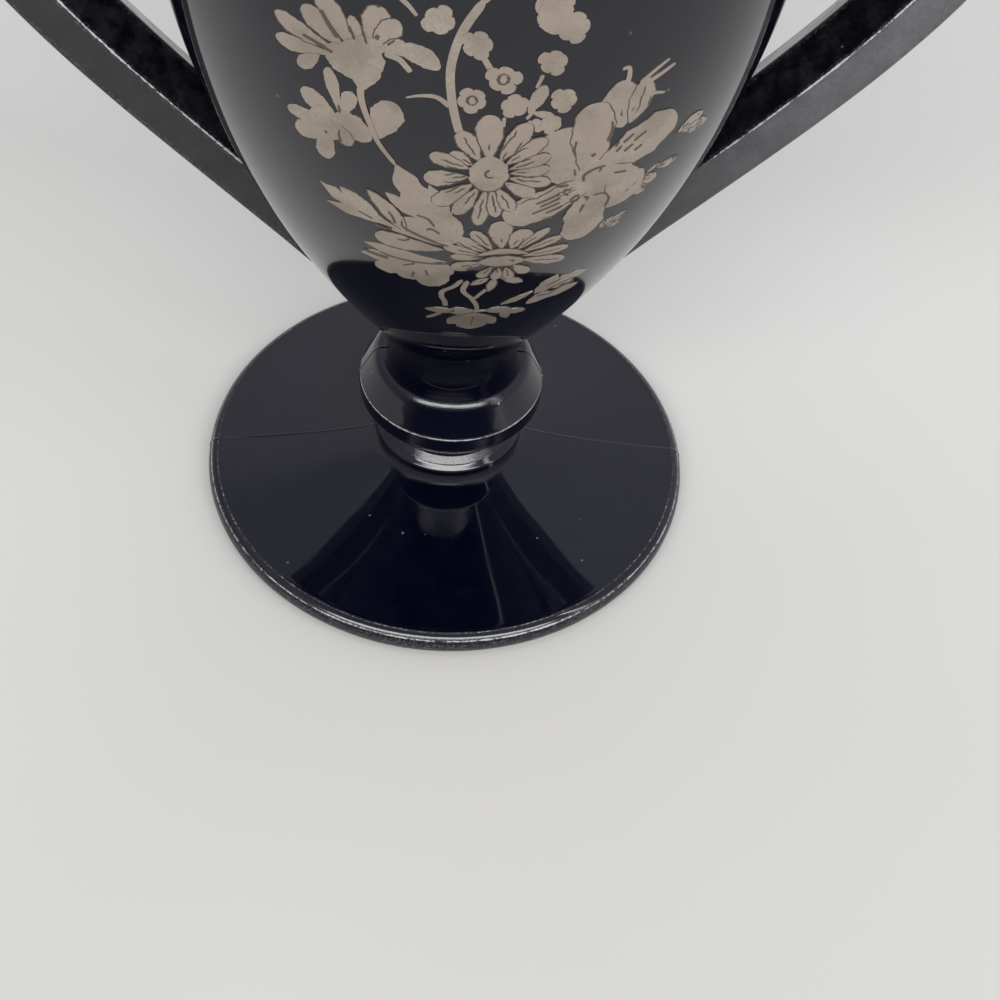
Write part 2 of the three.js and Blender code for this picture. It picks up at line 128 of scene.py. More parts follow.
def bezier(points: Sequence[Point], count: int) -> Array:
    """Points on a Bezier curve, its last one left out.

    Each is a sum of the control points, weighted by the Bernstein polynomials of the share of the way.

    Args:
        points: Control points.
        count: Number of points returned.

    Returns:
        Array of (count, 2).
    """
    share = np.arange(count) / count
    order = len(points) - 1
    curve = np.zeros((count, 2))
    for k, point in enumerate(points):
        weight = math.comb(order, k) * share**k * (1 - share) ** (order - k)
        curve += weight[:, None] * np.array(point)
    return curve


def rounded(
    corners: Sequence[Point], radii: Sequence[float], step: float, closed: bool
) -> tuple[Array, Array]:
    """A polygon with its corners cut back and replaced by quadratic curves.

    Args:
        corners: Corner points in order.
        radii: How far each corner is cut back along both its sides. 0 keeps it sharp.
        step: Longest step on the straight parts.
        closed: Whether the last corner joins the first.

    Returns:
        The points, and for each its nearness to a rounded corner, from 1 on it to 0 one millimetre away.
    """
    points = np.array(corners, float)
    cut = np.array(radii, float)[:, None]
    sides = [np.roll(points, turn, axis=0) - points for turn in (1, -1)]
    starts, ends = [points + side / np.linalg.norm(side, axis=1)[:, None] * cut for side in sides]
    parts = []
    near = []
    for k in range(len(points)):
        if cut[k] > 0:
            parts.append(bezier([starts[k], points[k], ends[k]], 6))
            near.append(np.ones(6))
        if closed or k < len(points) - 1:
            goal = starts[(k + 1) % len(points)]
            line = straight(ends[k], goal, step)
            gap = np.minimum(np.linalg.norm(line - ends[k], axis=1), np.linalg.norm(line - goal, axis=1))
            parts.append(line)
            near.append(np.clip(1 - gap, 0, 1))
    if not closed:
        parts.append(points[-1:])
        near.append(np.zeros(1))
    return np.concatenate(parts), np.concatenate(near)


def unevenness(x: Array, y: Array, z: Array, wavelength: float) -> Array:
    """Slow waves in the surface, about -1 to 1: a sum of five sine waves in different directions.

    Args:
        x: First coordinate.
        y: Second coordinate.
        z: Third coordinate.
        wavelength: Length of the longest wave.

    Returns:
        The sum at each point.
    """
    turn = 2 * math.pi / wavelength
    waves = (
        np.sin(turn * (x + 0.4 * y) + 1.3)
        + np.sin(turn * (1.3 * y - 0.5 * z) + 4.1)
        + np.sin(turn * (0.9 * z + 0.7 * x) + 2.2)
        + 0.6 * np.sin(turn * (1.9 * x - 1.2 * z) + 0.4)
        + 0.6 * np.sin(turn * (1.7 * y + 2.1 * z) + 5.2)
    )
    return waves / 4.2


# Meshes


def grid_quads(rows: int, columns: int, wrap: bool) -> Array:
    """Quads between neighbours on a grid of points.

    Args:
        rows: Number of rows.
        columns: Number of columns.
        wrap: Whether the last column joins the first.

    Returns:
        Vertex numbers, four to a face.
    """
    row = np.arange(rows - 1)[:, None] * columns
    column = np.arange(columns if wrap else columns - 1)[None, :]
    beside = (column + 1) % columns
    corners = [row + column, row + beside, row + columns + beside, row + columns + column]
    return np.stack(corners, axis=-1).reshape(-1, 4)


def fan(centre: int, ring: Array) -> Array:
    """Triangles from a closed ring of vertices, anticlockwise from outside, to one centre vertex."""
    return np.stack([ring, np.roll(ring, -1), np.full(len(ring), centre)], axis=1)


def make_object(
    name: str,
    vertices: Array,
    quads: Array,
    triangles: Array = np.zeros((0, 3), int),
    uv: Array | None = None,
    marks: dict[str, Array] | None = None,
    sharp_degrees: float = 32.0,
) -> Piece:
    """A smooth-shaded mesh object at the origin, with its sharp edges marked.

    Args:
        name: Name of the object.
        vertices: Points in millimetres.
        quads: Vertex numbers, four to a face, anticlockwise as seen from outside.
        triangles: Vertex numbers, three to a face.
        uv: One (u, v) for each vertex.
        marks: Named values, one for each vertex, that the material reads.
        sharp_degrees: Edges that turn by more than this stay sharp.

    Returns:
        The new object, linked to the scene.
    """
    corners = np.concatenate([quads.ravel(), triangles.ravel()]).astype(np.int32)
    starts = np.concatenate([np.arange(len(quads)) * 4, len(quads) * 4 + np.arange(len(triangles)) * 3])
    mesh = bpy.data.meshes.new(name)
    mesh.vertices.add(len(vertices))
    mesh.vertices.foreach_set("co", (vertices * MM).astype(np.float32).ravel())
    mesh.loops.add(len(corners))
    mesh.loops.foreach_set("vertex_index", corners)
    mesh.polygons.add(len(starts))
    mesh.polygons.foreach_set("loop_start", starts.astype(np.int32))
    mesh.update(calc_edges=True)
    mesh.polygons.foreach_set("use_smooth", np.ones(len(starts), bool))
    if uv is not None:
        layer = mesh.uv_layers.new(name="UVMap")
        layer.data.foreach_set("uv", uv[corners].astype(np.float32).ravel())
    for mark, values in (marks or {}).items():
        layer = mesh.attributes.new(mark, "FLOAT", "POINT")
        layer.data.foreach_set("value", values.astype(np.float32))
    mesh.set_sharp_from_angle(angle=math.radians(sharp_degrees))
    piece = bpy.data.objects.new(name, mesh)
    bpy.context.scene.collection.objects.link(piece)
    return piece


def tube(
    name: str, rings: Array, tips: Sequence, marks: dict[str, Array], sharp_degrees: float = 32.0
) -> Piece:
    """A closed mesh over rings of points, with a fan to a tip at each end.

    Args:
        name: Name of the object.
        rings: Points of (ring, point, 3).
        tips: The points that close the first and the last ring.
        marks: Named values that the material reads, each of (ring, point) or (ring, 1).
        sharp_degrees: Edges that turn by more than this stay sharp.

    Returns:
        The mesh object.
    """
    rows, columns = rings.shape[:2]
    count = rows * columns
    step = np.arange(columns)
    ends = np.concatenate([fan(count, step[::-1]), fan(count + 1, count - columns + step)])
    spread = {}
    for mark, values in marks.items():
        spread[mark] = np.concatenate([np.broadcast_to(values, (rows, columns)).ravel(), np.zeros(2)])
    vertices = np.concatenate([rings.reshape(-1, 3), np.array(tips)])
    quads = grid_quads(rows, columns, True)
    return make_object(name, vertices, quads, ends, marks=spread, sharp_degrees=sharp_degrees)


def dress(piece: Piece, material: Material, node: str) -> Piece:
    """Gives a piece its material and says what it rides on, which solid it replaces.

    Args:
        piece: The piece.
        material: Its material.
        node: Name of the solid that it replaces.

    Returns:
        The piece.
    """
    piece.data.materials.append(material)
    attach(piece, BODY)
    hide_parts(node)
    return piece


@dataclass
class Turning:
    """A solid of revolution with slow waves in its skin, and the fine ridge that the mould's joint leaves.

    The ridge is a bell curve across the plane of the handles.
    """

    name: str
    profile: Array
    seam_from: int
    seam_to: int
    wave_height: float = 0.03
    wave_length: float = 17.0
    marks: dict[str, Array] = field(default_factory=dict)
    columns: int = 360
    seam_height: float = 0.13
    seam_half_width: float = 0.22

    def angles(self) -> Array:
        """Angles round the axis, closest together at the mould seam on +X and -X.

        The angle is t minus 0.42 times the sine of 2t, with t in equal steps.

        Returns:
            One angle for each column.
        """
        even = np.arange(self.columns) * 2 * math.pi / self.columns
        return even - 0.42 * np.sin(2 * even)

    def build(self) -> Piece:
        """Turns the profile round the axis, with the seam between two of its points.

        A point of the profile at radius r and angle a lands at (r cos a, r sin a, z), moved along the
        profile's own normal by the seam and by the waves.

        Returns:
            The closed mesh object.
        """
        radius, height = self.profile[1:-1].T[..., None]
        right, up = square_to(self.profile)[1:-1].T[..., None]
        angles = self.angles()
        number = np.arange(1, len(self.profile) - 1)[:, None]
        on_skin = (number >= self.seam_from) & (number < self.seam_to)
        x = radius * np.cos(angles)
        y = radius * np.sin(angles)
        waves = self.wave_height * unevenness(x, y, height + 0 * x, self.wave_length)
        out = np.where(on_skin, self.seam_height * bell(y, self.seam_half_width) + waves, 0.0)
        radius = radius + right * out
        rings = np.stack([radius * np.cos(angles), radius * np.sin(angles), height + up * out], axis=-1)
        tips = [(0, 0, self.profile[end, 1]) for end in (0, -1)]
        return tube(self.name, rings, tips, {mark: values[1:-1, None] for mark, values in self.marks.items()})


# Shaders


class Shader:
    """The node tree of a material or of the world, filled one node at a time."""

    def __init__(self, owner: Material | bpy.types.World) -> None:
        """Empties the owner's node tree.

        Args:
            owner: What the tree belongs to.
        """
        owner.use_nodes = True
        self.owner = owner
        self.tree = owner.node_tree
        self.tree.nodes.clear()

    def add(self, kind: str, inputs: dict | None = None, **settings: object) -> bpy.types.Node:
        """A new node.

        Args:
            kind: Blender's name for the type of node.
            inputs: A value or a socket for each named or numbered input.
            **settings: The node's own properties.

        Returns:
            The node.
        """
        node = self.tree.nodes.new(kind)
        for key, value in settings.items():
            setattr(node, key, value)
        for key, value in (inputs or {}).items():
            if isinstance(value, Socket):
                self.tree.links.new(value, node.inputs[key])
            else:
                node.inputs[key].default_value = value
        return node

    def place(self) -> Socket:
        """The point's own coordinates, in metres."""
        return self.add("ShaderNodeTexCoord").outputs["Object"]

    def mark(self, name: str) -> Socket:
        """A named value of the mesh."""
        return self.add("ShaderNodeAttribute", attribute_name=name).outputs["Fac"]

    def math(self, operation: str, *values: object) -> Socket:
        """The result of a Math node on one to three values."""
        return self.add("ShaderNodeMath", dict(enumerate(values)), operation=operation).outputs[0]

    def times(self, first: object, *others: object) -> Socket:
        """The product of two or more values.

        Args:
            first: a socket or a number.
            others: sockets or numbers, multiplied in one after the other.

        Returns:
            The product.
        """
        for other in others:
            first = self.math("MULTIPLY", first, other)
        return first

    def most(self, first: object, *others: object) -> Socket:
        """The largest of two or more values.

        Args:
            first: a socket or a number.
            others: sockets or numbers, compared one after the other.

        Returns:
            The largest value.
        """
        for other in others:
            first = self.math("MAXIMUM", first, other)
        return first

    def scaled(self, value: object, gain: float, offset: object) -> Socket:
        """A value times a gain plus an offset."""
        return self.math("MULTIPLY_ADD", value, gain, offset)

    def step(
        self, value: object, low: float, high: float, to_low: float = 0.0, to_high: float = 1.0
    ) -> Socket:
        """A smooth step from to_low at low to to_high at high."""
        inputs = {"Value": value, "From Min": low, "From Max": high, "To Min": to_low, "To Max": to_high}
        return self.add("ShaderNodeMapRange", inputs, interpolation_type="SMOOTHSTEP").outputs["Result"]

    def mix(self, share: object, first: object, second: object) -> Socket:
        """A colour between two colours."""
        return self.add("ShaderNodeMix", {0: share, 6: first, 7: second}, data_type="RGBA").outputs[2]

    def noise(
        self, vector: object, wavelength: float, detail: float = 3.0, roughness: float = 0.55
    ) -> Socket:
        """Noise from 0 to 1 whose features are about a wavelength in millimetres apart."""
        inputs = {"Vector": vector, "Scale": 1 / (wavelength * MM), "Detail": detail, "Roughness": roughness}
        return self.add("ShaderNodeTexNoise", inputs).outputs[0]

    def bump(self, height: object, depth: float, **under: object) -> Socket:
        """A bump whose height of 0 to 1 stands for a depth in millimetres, over another one as Normal."""
        inputs = {"Height": height, "Distance": depth * MM, "Strength": 1.0, **under}
        return self.add("ShaderNodeBump", inputs).outputs[0]

    def finish(self, inputs: dict) -> Material:
        """Ends the tree in a Principled shader.

        Args:
            inputs: a value or a socket for each input of the shader.

        Returns:
            The finished material.
        """
        shader = self.add("ShaderNodeBsdfPrincipled", inputs)
        self.add("ShaderNodeOutputMaterial", {"Surface": shader.outputs[0]})
        return self.owner


@dataclass(frozen=True)
class BlackGlass:
    """Glass of so dark a violet that it looks black, fire-polished, with ripples, specks, and rubbed edges
    painted pale with a highlight.

    The mesh says by its marks where the glass is rubbed and painted pale with an edge highlight, where a
    painted grey sheen covers its sides, and where it is rough (pitted).
    """

    name: str
    tint: Colour = (0.0010, 0.0013, 0.0058, 1.0)
    bloom_and_sheen: Colour = (0.0022, 0.0024, 0.0078, 1.0)
    speck_colour: Colour = (0.10, 0.10, 0.11, 1.0)
    grit_colour: Colour = (0.055, 0.055, 0.058, 1.0)
    wear_and_highlight_colour: Colour = (0.42, 0.42, 0.43, 1.0)
    side_sheen_colour: Colour | None = None
    roughness_low: float = 0.03
    roughness_high: float = 0.09
    ripple_length: float = 14.0
    ripple_depth: float = 0.012
    grain_length: float = 1.1
    grain_depth: float = 0.0008
    grit_length: float = 0.45
    pit_length: float = 0.36
    pit_depth: float = 0.05
    cells_per_metre: float = 420.0
    speck_chance: Point = (0.955, 0.965)
    worn_and_highlit_level: Point = (1.17, 1.27)
    speck_roughness: float = 0.6
    matt_roughness: float = 0.34
    worn_roughness: float = 0.5
    gloss: float = 0.5

    def material(self) -> Material:
        """Colour from specks, a painted grey sheen on the sides, and wear that is partly a painted edge
        highlight; roughness from a noise, bump from ripples, pits and grain.

        A speck sits in the middle of one in twenty-five cells of a Voronoi pattern. Worn glass shows where
        two noises and the cube of the mark add up to more than a level; its pale grey is partly wear and
        partly a painted highlight on the edges.

        Returns:
            The glass material.
        """
        shader = Shader(bpy.data.materials.new(self.name))
        place = shader.place()
        cells = shader.add("ShaderNodeTexVoronoi", {"Vector": place, "Scale": self.cells_per_metre})
        chance = shader.add("ShaderNodeSeparateColor", {"Color": cells.outputs["Color"]}).outputs[0]
        near = shader.step(cells.outputs["Distance"], 0.05, 0.16, 1.0, 0.0)
        speck = shader.times(near, shader.step(chance, *self.speck_chance))
        haze = shader.noise(place, 6.0, 5.0, 0.65)
        scuff = shader.step(haze, 0.35, 0.8, self.roughness_low, self.roughness_high)
        cloudy = shader.step(shader.noise(place, 4.5, 5.0, 0.7), 0.38, 0.72)
        colour = shader.mix(cloudy, self.tint, self.bloom_and_sheen)
        colour = shader.mix(speck, colour, self.speck_colour)
        sand = shader.noise(place, self.grit_length, 3.0)
        # Painted sheen: the marked sides are greyed as if they reflected the pale table.
        if self.side_sheen_colour is not None:
            cloud = shader.step(shader.noise(place, 9.0, 5.0, 0.6), 0.32, 0.68, 0.72, 1.0)
            share = shader.times(shader.mark("side"), cloud, shader.step(sand, 0.36, 0.62, 0.84, 1.0))
            colour = shader.mix(share, colour, self.side_sheen_colour)
        rubbed = shader.mark("wear")
        level = shader.scaled(shader.noise(place, 9.0, 3.0, 0.6), 0.55, shader.noise(place, 0.9, 6.0, 0.8))
        level = shader.scaled(shader.math("POWER", rubbed, 3.0), 0.60, level)
        worn_and_highlit = shader.times(shader.step(level, *self.worn_and_highlit_level), shader.step(rubbed, 0.05, 0.5))
        matt = shader.step(rubbed, 0.2, 0.5)
        colour = shader.mix(shader.times(shader.step(sand, 0.50, 0.62), matt), colour, self.grit_colour)
        # Painted highlight: the pale grey on rubbed edges stands for wear and for light caught on the edges.
        colour = shader.mix(worn_and_highlit, colour, self.wear_and_highlight_colour)
        rough = shader.most(scuff, shader.times(speck, self.speck_roughness))
        rough = shader.most(rough, shader.times(matt, self.matt_roughness))
        rough = shader.most(rough, shader.times(worn_and_highlit, self.worn_roughness))
        ripple = shader.bump(shader.noise(place, self.ripple_length, 1.0), self.ripple_depth)
        pits = shader.times(shader.noise(place, self.pit_length, 4.0, 0.7), shader.mark("pitted"))
        pitted = shader.bump(pits, self.pit_depth, Normal=ripple)
        grain = shader.bump(shader.noise(place, self.grain_length, 2.0), self.grain_depth, Normal=pitted)
        return shader.finish(
            {
                "Base Color": colour,
                "Roughness": rough,
                "IOR": 1.52,
                "Specular IOR Level": self.gloss,
                "Normal": grain,
            }
        )


@dataclass(frozen=True)
class EngravedSilver:
    """A thin silver deposit, warm with age, matt from etching and engraved with fine strokes."""

    name: str
    bright: Colour = (0.51, 0.445, 0.375, 1.0)
    aged: Colour = (0.35, 0.295, 0.25, 1.0)
    rosy: Colour = (0.46, 0.385, 0.335, 1.0)
    cut: Colour = (0.040, 0.026, 0.019, 1.0)
    pitch: float = 0.85
    line_core: float = 0.10
    line_half_width: float = 0.19
    drawn_share: float = 0.48
    line_ink: float = 0.92
    ring_ink: float = 0.88
    pit_ink: float = 0.4
    relief: float = 0.02
    faded: float = 0.0

    def strokes(self, shader: Shader, number: object, along: object, across: object) -> Socket:
        """Dashes along a shape, in lanes side by side.

        A dice for each lane says where its dash begins and stops, and whether it is drawn. The middle
        lane always is.

        Args:
            shader: The node tree.
            number: Number of the shape.
            along: Share of the way from its base to its tip.
            across: Distance from its midrib, in millimetres.

        Returns:
            1 on a dash.
        """
        wander = shader.scaled(shader.noise(shader.place(), 3.0, 2.0), 0.9, -0.45)
        lanes = shader.scaled(shader.math("ADD", across, wander), 1 / self.pitch, 0.5)
        lane = shader.math("FLOOR", lanes)
        off_lane = shader.math("ABSOLUTE", shader.math("SUBTRACT", shader.math("FRACT", lanes), 0.5))
        key = shader.add("ShaderNodeCombineXYZ", {0: number, 1: lane, 2: 0.0}).outputs[0]
        roll = shader.add("ShaderNodeTexWhiteNoise", {"Vector": key}).outputs[1]
        dice = shader.add("ShaderNodeSeparateColor", {0: roll}).outputs
        begin = shader.scaled(dice[0], 0.26, 0.16)
        stop = shader.math("ADD", begin, shader.scaled(dice[1], 0.34, 0.10))
        begun = shader.step(shader.math("SUBTRACT", along, begin), 0.0, 0.05)
        going = shader.step(shader.math("SUBTRACT", stop, along), 0.0, 0.07)
        thin = shader.step(off_lane, self.line_core / self.pitch, self.line_half_width / self.pitch, 1.0, 0.0)
        middle = shader.math("LESS_THAN", shader.math("ABSOLUTE", lane), 0.5)
        drawn = shader.most(shader.math("GREATER_THAN", dice[2], 1 - self.drawn_share), middle)
        return shader.times(thin, begun, going, drawn)

    def ring(self, shader: Shader, along: object, across: object) -> Socket:
        """A broken ring on an eye, between two shares of its radius.

        The share is the root of u squared plus v squared times (1 minus u squared), with u from -1 at the
        base to 1 at the tip and v from -1 at the left edge to 1 at the right.

        Args:
            shader: The node tree.
            along: Share of the way from the eye's base to its tip.
            across: Share of the half-width.

        Returns:
            1 on the ring.
        """
        up = shader.scaled(along, 2.0, -1.0)
        squared = shader.times(up, up)
        wide = shader.times(shader.math("SUBTRACT", 1.0, squared), across, across)
        share = shader.math("SQRT", shader.math("ADD", squared, wide))
        broken = shader.step(shader.noise(shader.place(), 1.2, 2.0), 0.34, 0.46)
        return shader.times(shader.step(share, 0.40, 0.52), shader.step(share, 0.80, 0.92, 1.0, 0.0), broken)

    def material(self) -> Material:
        """Silver whose engraving follows each shape's own length.

        The whole part of u is the shape's number plus the value of its engraving, its fraction runs from
        base to tip, and v runs across.

        Returns:
            The silver material.
        """
        shader = Shader(bpy.data.materials.new(self.name))
        place = shader.place()
        uv = shader.add("ShaderNodeUVMap", uv_map="UVMap").outputs[0]
        split = shader.add("ShaderNodeSeparateXYZ", {0: uv})
        number = shader.math("FLOOR", split.outputs[0])
        along = shader.math("FRACT", split.outputs[0])
        across = split.outputs[1]
        combed = shader.math("LESS_THAN", number, EYE.value - 0.5)
        up_to_eye = shader.math("LESS_THAN", number, PLAIN.value - 0.5)
        eye = shader.times(shader.math("SUBTRACT", 1.0, combed), up_to_eye)
        groove = shader.math("GREATER_THAN", number, GROOVE.value - 0.5)
        stroke = shader.times(combed, self.strokes(shader, number, along, across))
        ring = shader.times(eye, self.ring(shader, along, across))
        frayed = shader.scaled(shader.noise(place, 0.9, 3.0), 0.24, -0.12)
        edge = shader.step(shader.math("ADD", shader.mark("inset"), frayed), 0.15, 0.27, 1.0, 0.0)
        grain = shader.noise(place, 0.5, 4.0, 0.7)
        pits = shader.times(shader.step(grain, 0.68, 0.78), self.pit_ink)
        lines = shader.times(shader.most(stroke, edge), self.line_ink)
        mark = shader.most(lines, pits, shader.times(shader.most(ring, groove), self.ring_ink))
        cloud = shader.noise(place, 7.0, 4.0, 0.6)
        silver = shader.mix(shader.step(cloud, 0.3, 0.72), self.bright, self.aged)
        silver = shader.mix(shader.step(grain, 0.3, 0.75, 0.0, 0.5), silver, self.aged)
        blush = shader.step(shader.noise(place, 15.0, 2.0), 0.46, 0.6, 0.0, 0.8)
        silver = shader.mix(blush, silver, self.rosy)
        if self.faded > 0:
            less = self.faded * 0.3
            mark = shader.most(mark, shader.step(shader.noise(place, 1.2, 5.0, 0.7), 0.62 - less, 0.7 - less))
        depth = shader.math("SUBTRACT", shader.times(grain, 0.25), mark)
        return shader.finish(
            {
                "Base Color": shader.mix(mark, silver, self.cut),
                "Metallic": shader.step(mark, 0.0, 1.0, 1.0, 0.2),
                "Roughness": shader.step(grain, 0.2, 0.8, 0.36, 0.56),
                "Normal": shader.bump(depth, self.relief),
            }
        )


@dataclass(frozen=True)
class PaleTable:
    """A pale grey matt table top with faint cloudy tones."""

    name: str = "pale_table"
    light: Colour = (0.635, 0.63, 0.60, 1.0)
    dark: Colour = (0.595, 0.585, 0.553, 1.0)

    def material(self) -> Material:
        """Two close greys mixed by a slow noise.

        Returns:
            The table material.
        """
        shader = Shader(bpy.data.materials.new(self.name))
        place = shader.place()
        tone = shader.step(shader.noise(place, 260.0, 2.0), 0.3, 0.7)
        fine = shader.bump(shader.noise(place, 1.5, 3.0), 0.01)
        colour = shader.mix(tone, self.light, self.dark)
        return shader.finish({"Base Color": colour, "Roughness": 0.55, "Normal": fine})


# Glass


@dataclass
class Foot:
    """The round foot: a standing ring, a worn rim with painted highlight lines, a gentle slope and a cove up
    to the stem.
    """

    radius: float = 53.2
    edge: float = 5.8
    height: float = 15.5
    crown: float = 11.2
    ring_width: float = 7.0
    recess: float = 3.5
    rim_width: float = 2.1
    slope_pull: Point = (29.9, 7.64)
    stem_radius: float = 14.7
    cove_width: float = 3.3
    finish: BlackGlass = BlackGlass(
        "black_glass_foot", ripple_length=22.0, ripple_depth=0.016, grain_length=0.9, grain_depth=0.0005
    )

    def profile(self) -> tuple[Array, int, int]:
        """Half of the foot's section, from the axis underneath to the axis on top.

        Returns:
            The points, and the numbers of the first and last point of the top face.
        """
        rim = self.radius
        ring_out = rim - self.edge / 2
        ring_in = ring_out - self.ring_width
        under = bezier([(0.0, self.recess), (ring_in * 0.7, self.recess), (ring_in, 0.0)], 40)
        ring = straight((ring_in, 0.0), (ring_out - 0.6, 0.0), 0.8)
        heel = bezier([(ring_out - 0.6, 0.0), (ring_out + 0.8, 0.0), (rim - 0.5, 1.5)], 12)
        belly = bezier([(rim - 0.5, 1.5), (rim + 0.15, 2.5), (rim + 0.1, 3.6), (rim - 0.7, 4.6)], 22)
        shoulder = (rim - self.rim_width, self.edge - 0.08)
        lip = bezier([(rim - 0.7, 4.6), (rim - 1.2, 5.3), shoulder], 14)
        flat = (shoulder[0] - 0.8, self.edge)
        crease = bezier([shoulder, (shoulder[0] - 0.35, self.edge + 0.02), flat], 6)
        cove = (self.stem_radius + self.cove_width, self.crown)
        slope = bezier([flat, self.slope_pull, cove], 90)
        root = (self.stem_radius + 1.65, self.crown + 0.7)
        skirt = bezier([cove, (cove[0] - 1.0, self.crown + 0.3), root], 8)
        ledge = (self.stem_radius + 1.1, self.height - 1.2)
        riser = bezier([root, (ledge[0] + 0.1, ledge[1] - 1.0), ledge], 10)
        top = (ledge[0] - 0.3, ledge[1] + 0.5)
        collar = bezier([ledge, (ledge[0] - 0.05, ledge[1] + 0.3), top], 6)
        facet = straight(top, (self.stem_radius, self.height), 0.2)
        rise = np.concatenate([skirt, riser, collar, facet])
        lid = straight((self.stem_radius, self.height), (0.0, self.height), 3.0)
        parts = [under, ring, heel, belly, lip, crease, slope, rise, lid, np.array([[0.0, self.height]])]
        counts = np.cumsum([len(part) for part in parts])
        return np.concatenate(parts), int(counts[2]), int(counts[7])

    def build(self) -> Piece:
        """Turns and dresses the foot. Wear, painted pale as a highlight too, is strongest where the rim turns
        in to the top face.

        Returns:
            The foot.
        """
        points, first, last = self.profile()
        in_rim = points[:, 0] - self.radius
        under_edge = points[:, 1] - self.edge
        # Painted highlight: the rim's belly, rounded corner and crease are painted pale as well as worn.
        belly = 0.5 * bell(in_rim, 0.9)
        corner = 0.95 * bell(np.hypot(in_rim + 0.75, under_edge + 1.1), 0.45)
        crease = bell(np.hypot(in_rim + self.rim_width, under_edge), 0.22)
        wear = np.clip(np.maximum(np.maximum(belly, corner), crease), 0, 1)
        collar = (points[:, 0] < self.stem_radius + 2.6) & (points[:, 1] > self.crown + 0.2)
        marks = {"wear": wear, "pitted": np.where(collar, 0.2, 0.8 * bell(in_rim, 1.0))}
        piece = Turning("foot_disc", points, first, last, 0.05, 34.0, marks).build()
        return dress(piece, self.finish.material(), "foot")


@dataclass
class Stem:
    """The knop, a swelling with a crisp edge, and the neck that flares into the cup."""

    base: float = 15.5
    radius: float = 14.7
    knop_height: float = 20.5
    knop_radius: float = 19.5
    belt_low: float = 8.6
    belt_high: float = 13.4
    shoulder_radius: float = 16.4
    shoulder_height: float = 19.45
    waist_radius: float = 13.5
    neck_height: float = 13.8
    bend_height: float = 8.0
    cup_radius: float = 17.1
    finish: BlackGlass = BlackGlass(
        "black_glass_stem", ripple_length=7.0, ripple_depth=0.014, grain_length=0.8, grain_depth=0.0022
    )
    neck_finish: BlackGlass = BlackGlass(
        "black_glass_neck", ripple_length=8.0, ripple_depth=0.014, gloss=0.18
    )

    def knop(self) -> Piece:
        """Turns the knop: a rounded belly, a crisp upper edge, a cone and a small shoulder.

        Returns:
            The knop.
        """
        z = self.base
        top = z + self.knop_height
        corners = [
            (0.0, z),
            (self.radius, z),
            (self.waist_radius - 0.4, z + 1.5),
            (self.knop_radius - 0.9, z + self.belt_low),
            (self.knop_radius, z + self.belt_low + 1.2),
            (self.knop_radius - 0.1, z + self.belt_high),
            (self.shoulder_radius, z + self.shoulder_height),
            (self.shoulder_radius - 1.1, top - 0.08),
            (0.0, top),
        ]
        points, _ = rounded(corners, [0, 0, 0.3, 0.9, 0.4, 0.35, 1.0, 0.4, 0], 0.25, False)
        up = points[:, 1] - z
        edge = bell(up - self.belt_high, 0.35) * (points[:, 0] > 15)
        facet = (up < 1.7) & (up > 0)
        shoulder = up > self.shoulder_height - 0.6
        belly = (up > self.belt_low + 0.6) & (up < self.belt_high - 0.5)
        pitted = np.max([0.6 * facet, 0.5 * edge, 0.45 * shoulder, 0.5 * belly], axis=0)
        # Painted highlight: the crisp edge, and faintly the facet, are painted pale as well as worn.
        marks = {"wear": np.maximum(edge, 0.3 * facet), "pitted": pitted}
        last = int(np.argmax((points[:, 1] > top - 0.2) & (points[:, 0] < self.waist_radius)))
        first = int(np.argmax(points[:, 1] > z + 1e-6)) - 1
        piece = Turning("stem_knop", points, first, last, marks=marks).build()
        return dress(piece, self.finish.material(), "knop")

    def neck(self) -> Piece:
        """Turns the neck: a crisp foot on the knop, a parabola that widens upwards, and a straight flare.

        Returns:
            The neck.
        """
        low = self.base + self.knop_height
        high = low + self.neck_height
        waist = (self.waist_radius, low)
        bent = (self.waist_radius + 1.5, low + self.bend_height)
        bend = bezier([waist, (self.waist_radius, low + 4.4), bent], 32)
        flare = straight(bent, (self.cup_radius, high), 0.6)
        floor = straight((0.0, low), waist, 3.0)
        lid = straight((self.cup_radius, high), (0.0, high), 3.0)
        points = np.concatenate([floor, bend, flare, lid, np.array([[0.0, high]])])
        marks = {"pitted": 0.7 * np.clip((points[:, 1] - low - 2.6) / 3.0, 0, 1)}
        last = len(floor) + len(bend) + len(flare) + 1
        piece = Turning("stem_neck", points, len(floor), last, marks=marks).build()
        return dress(piece, self.neck_finish.material(), "neck")


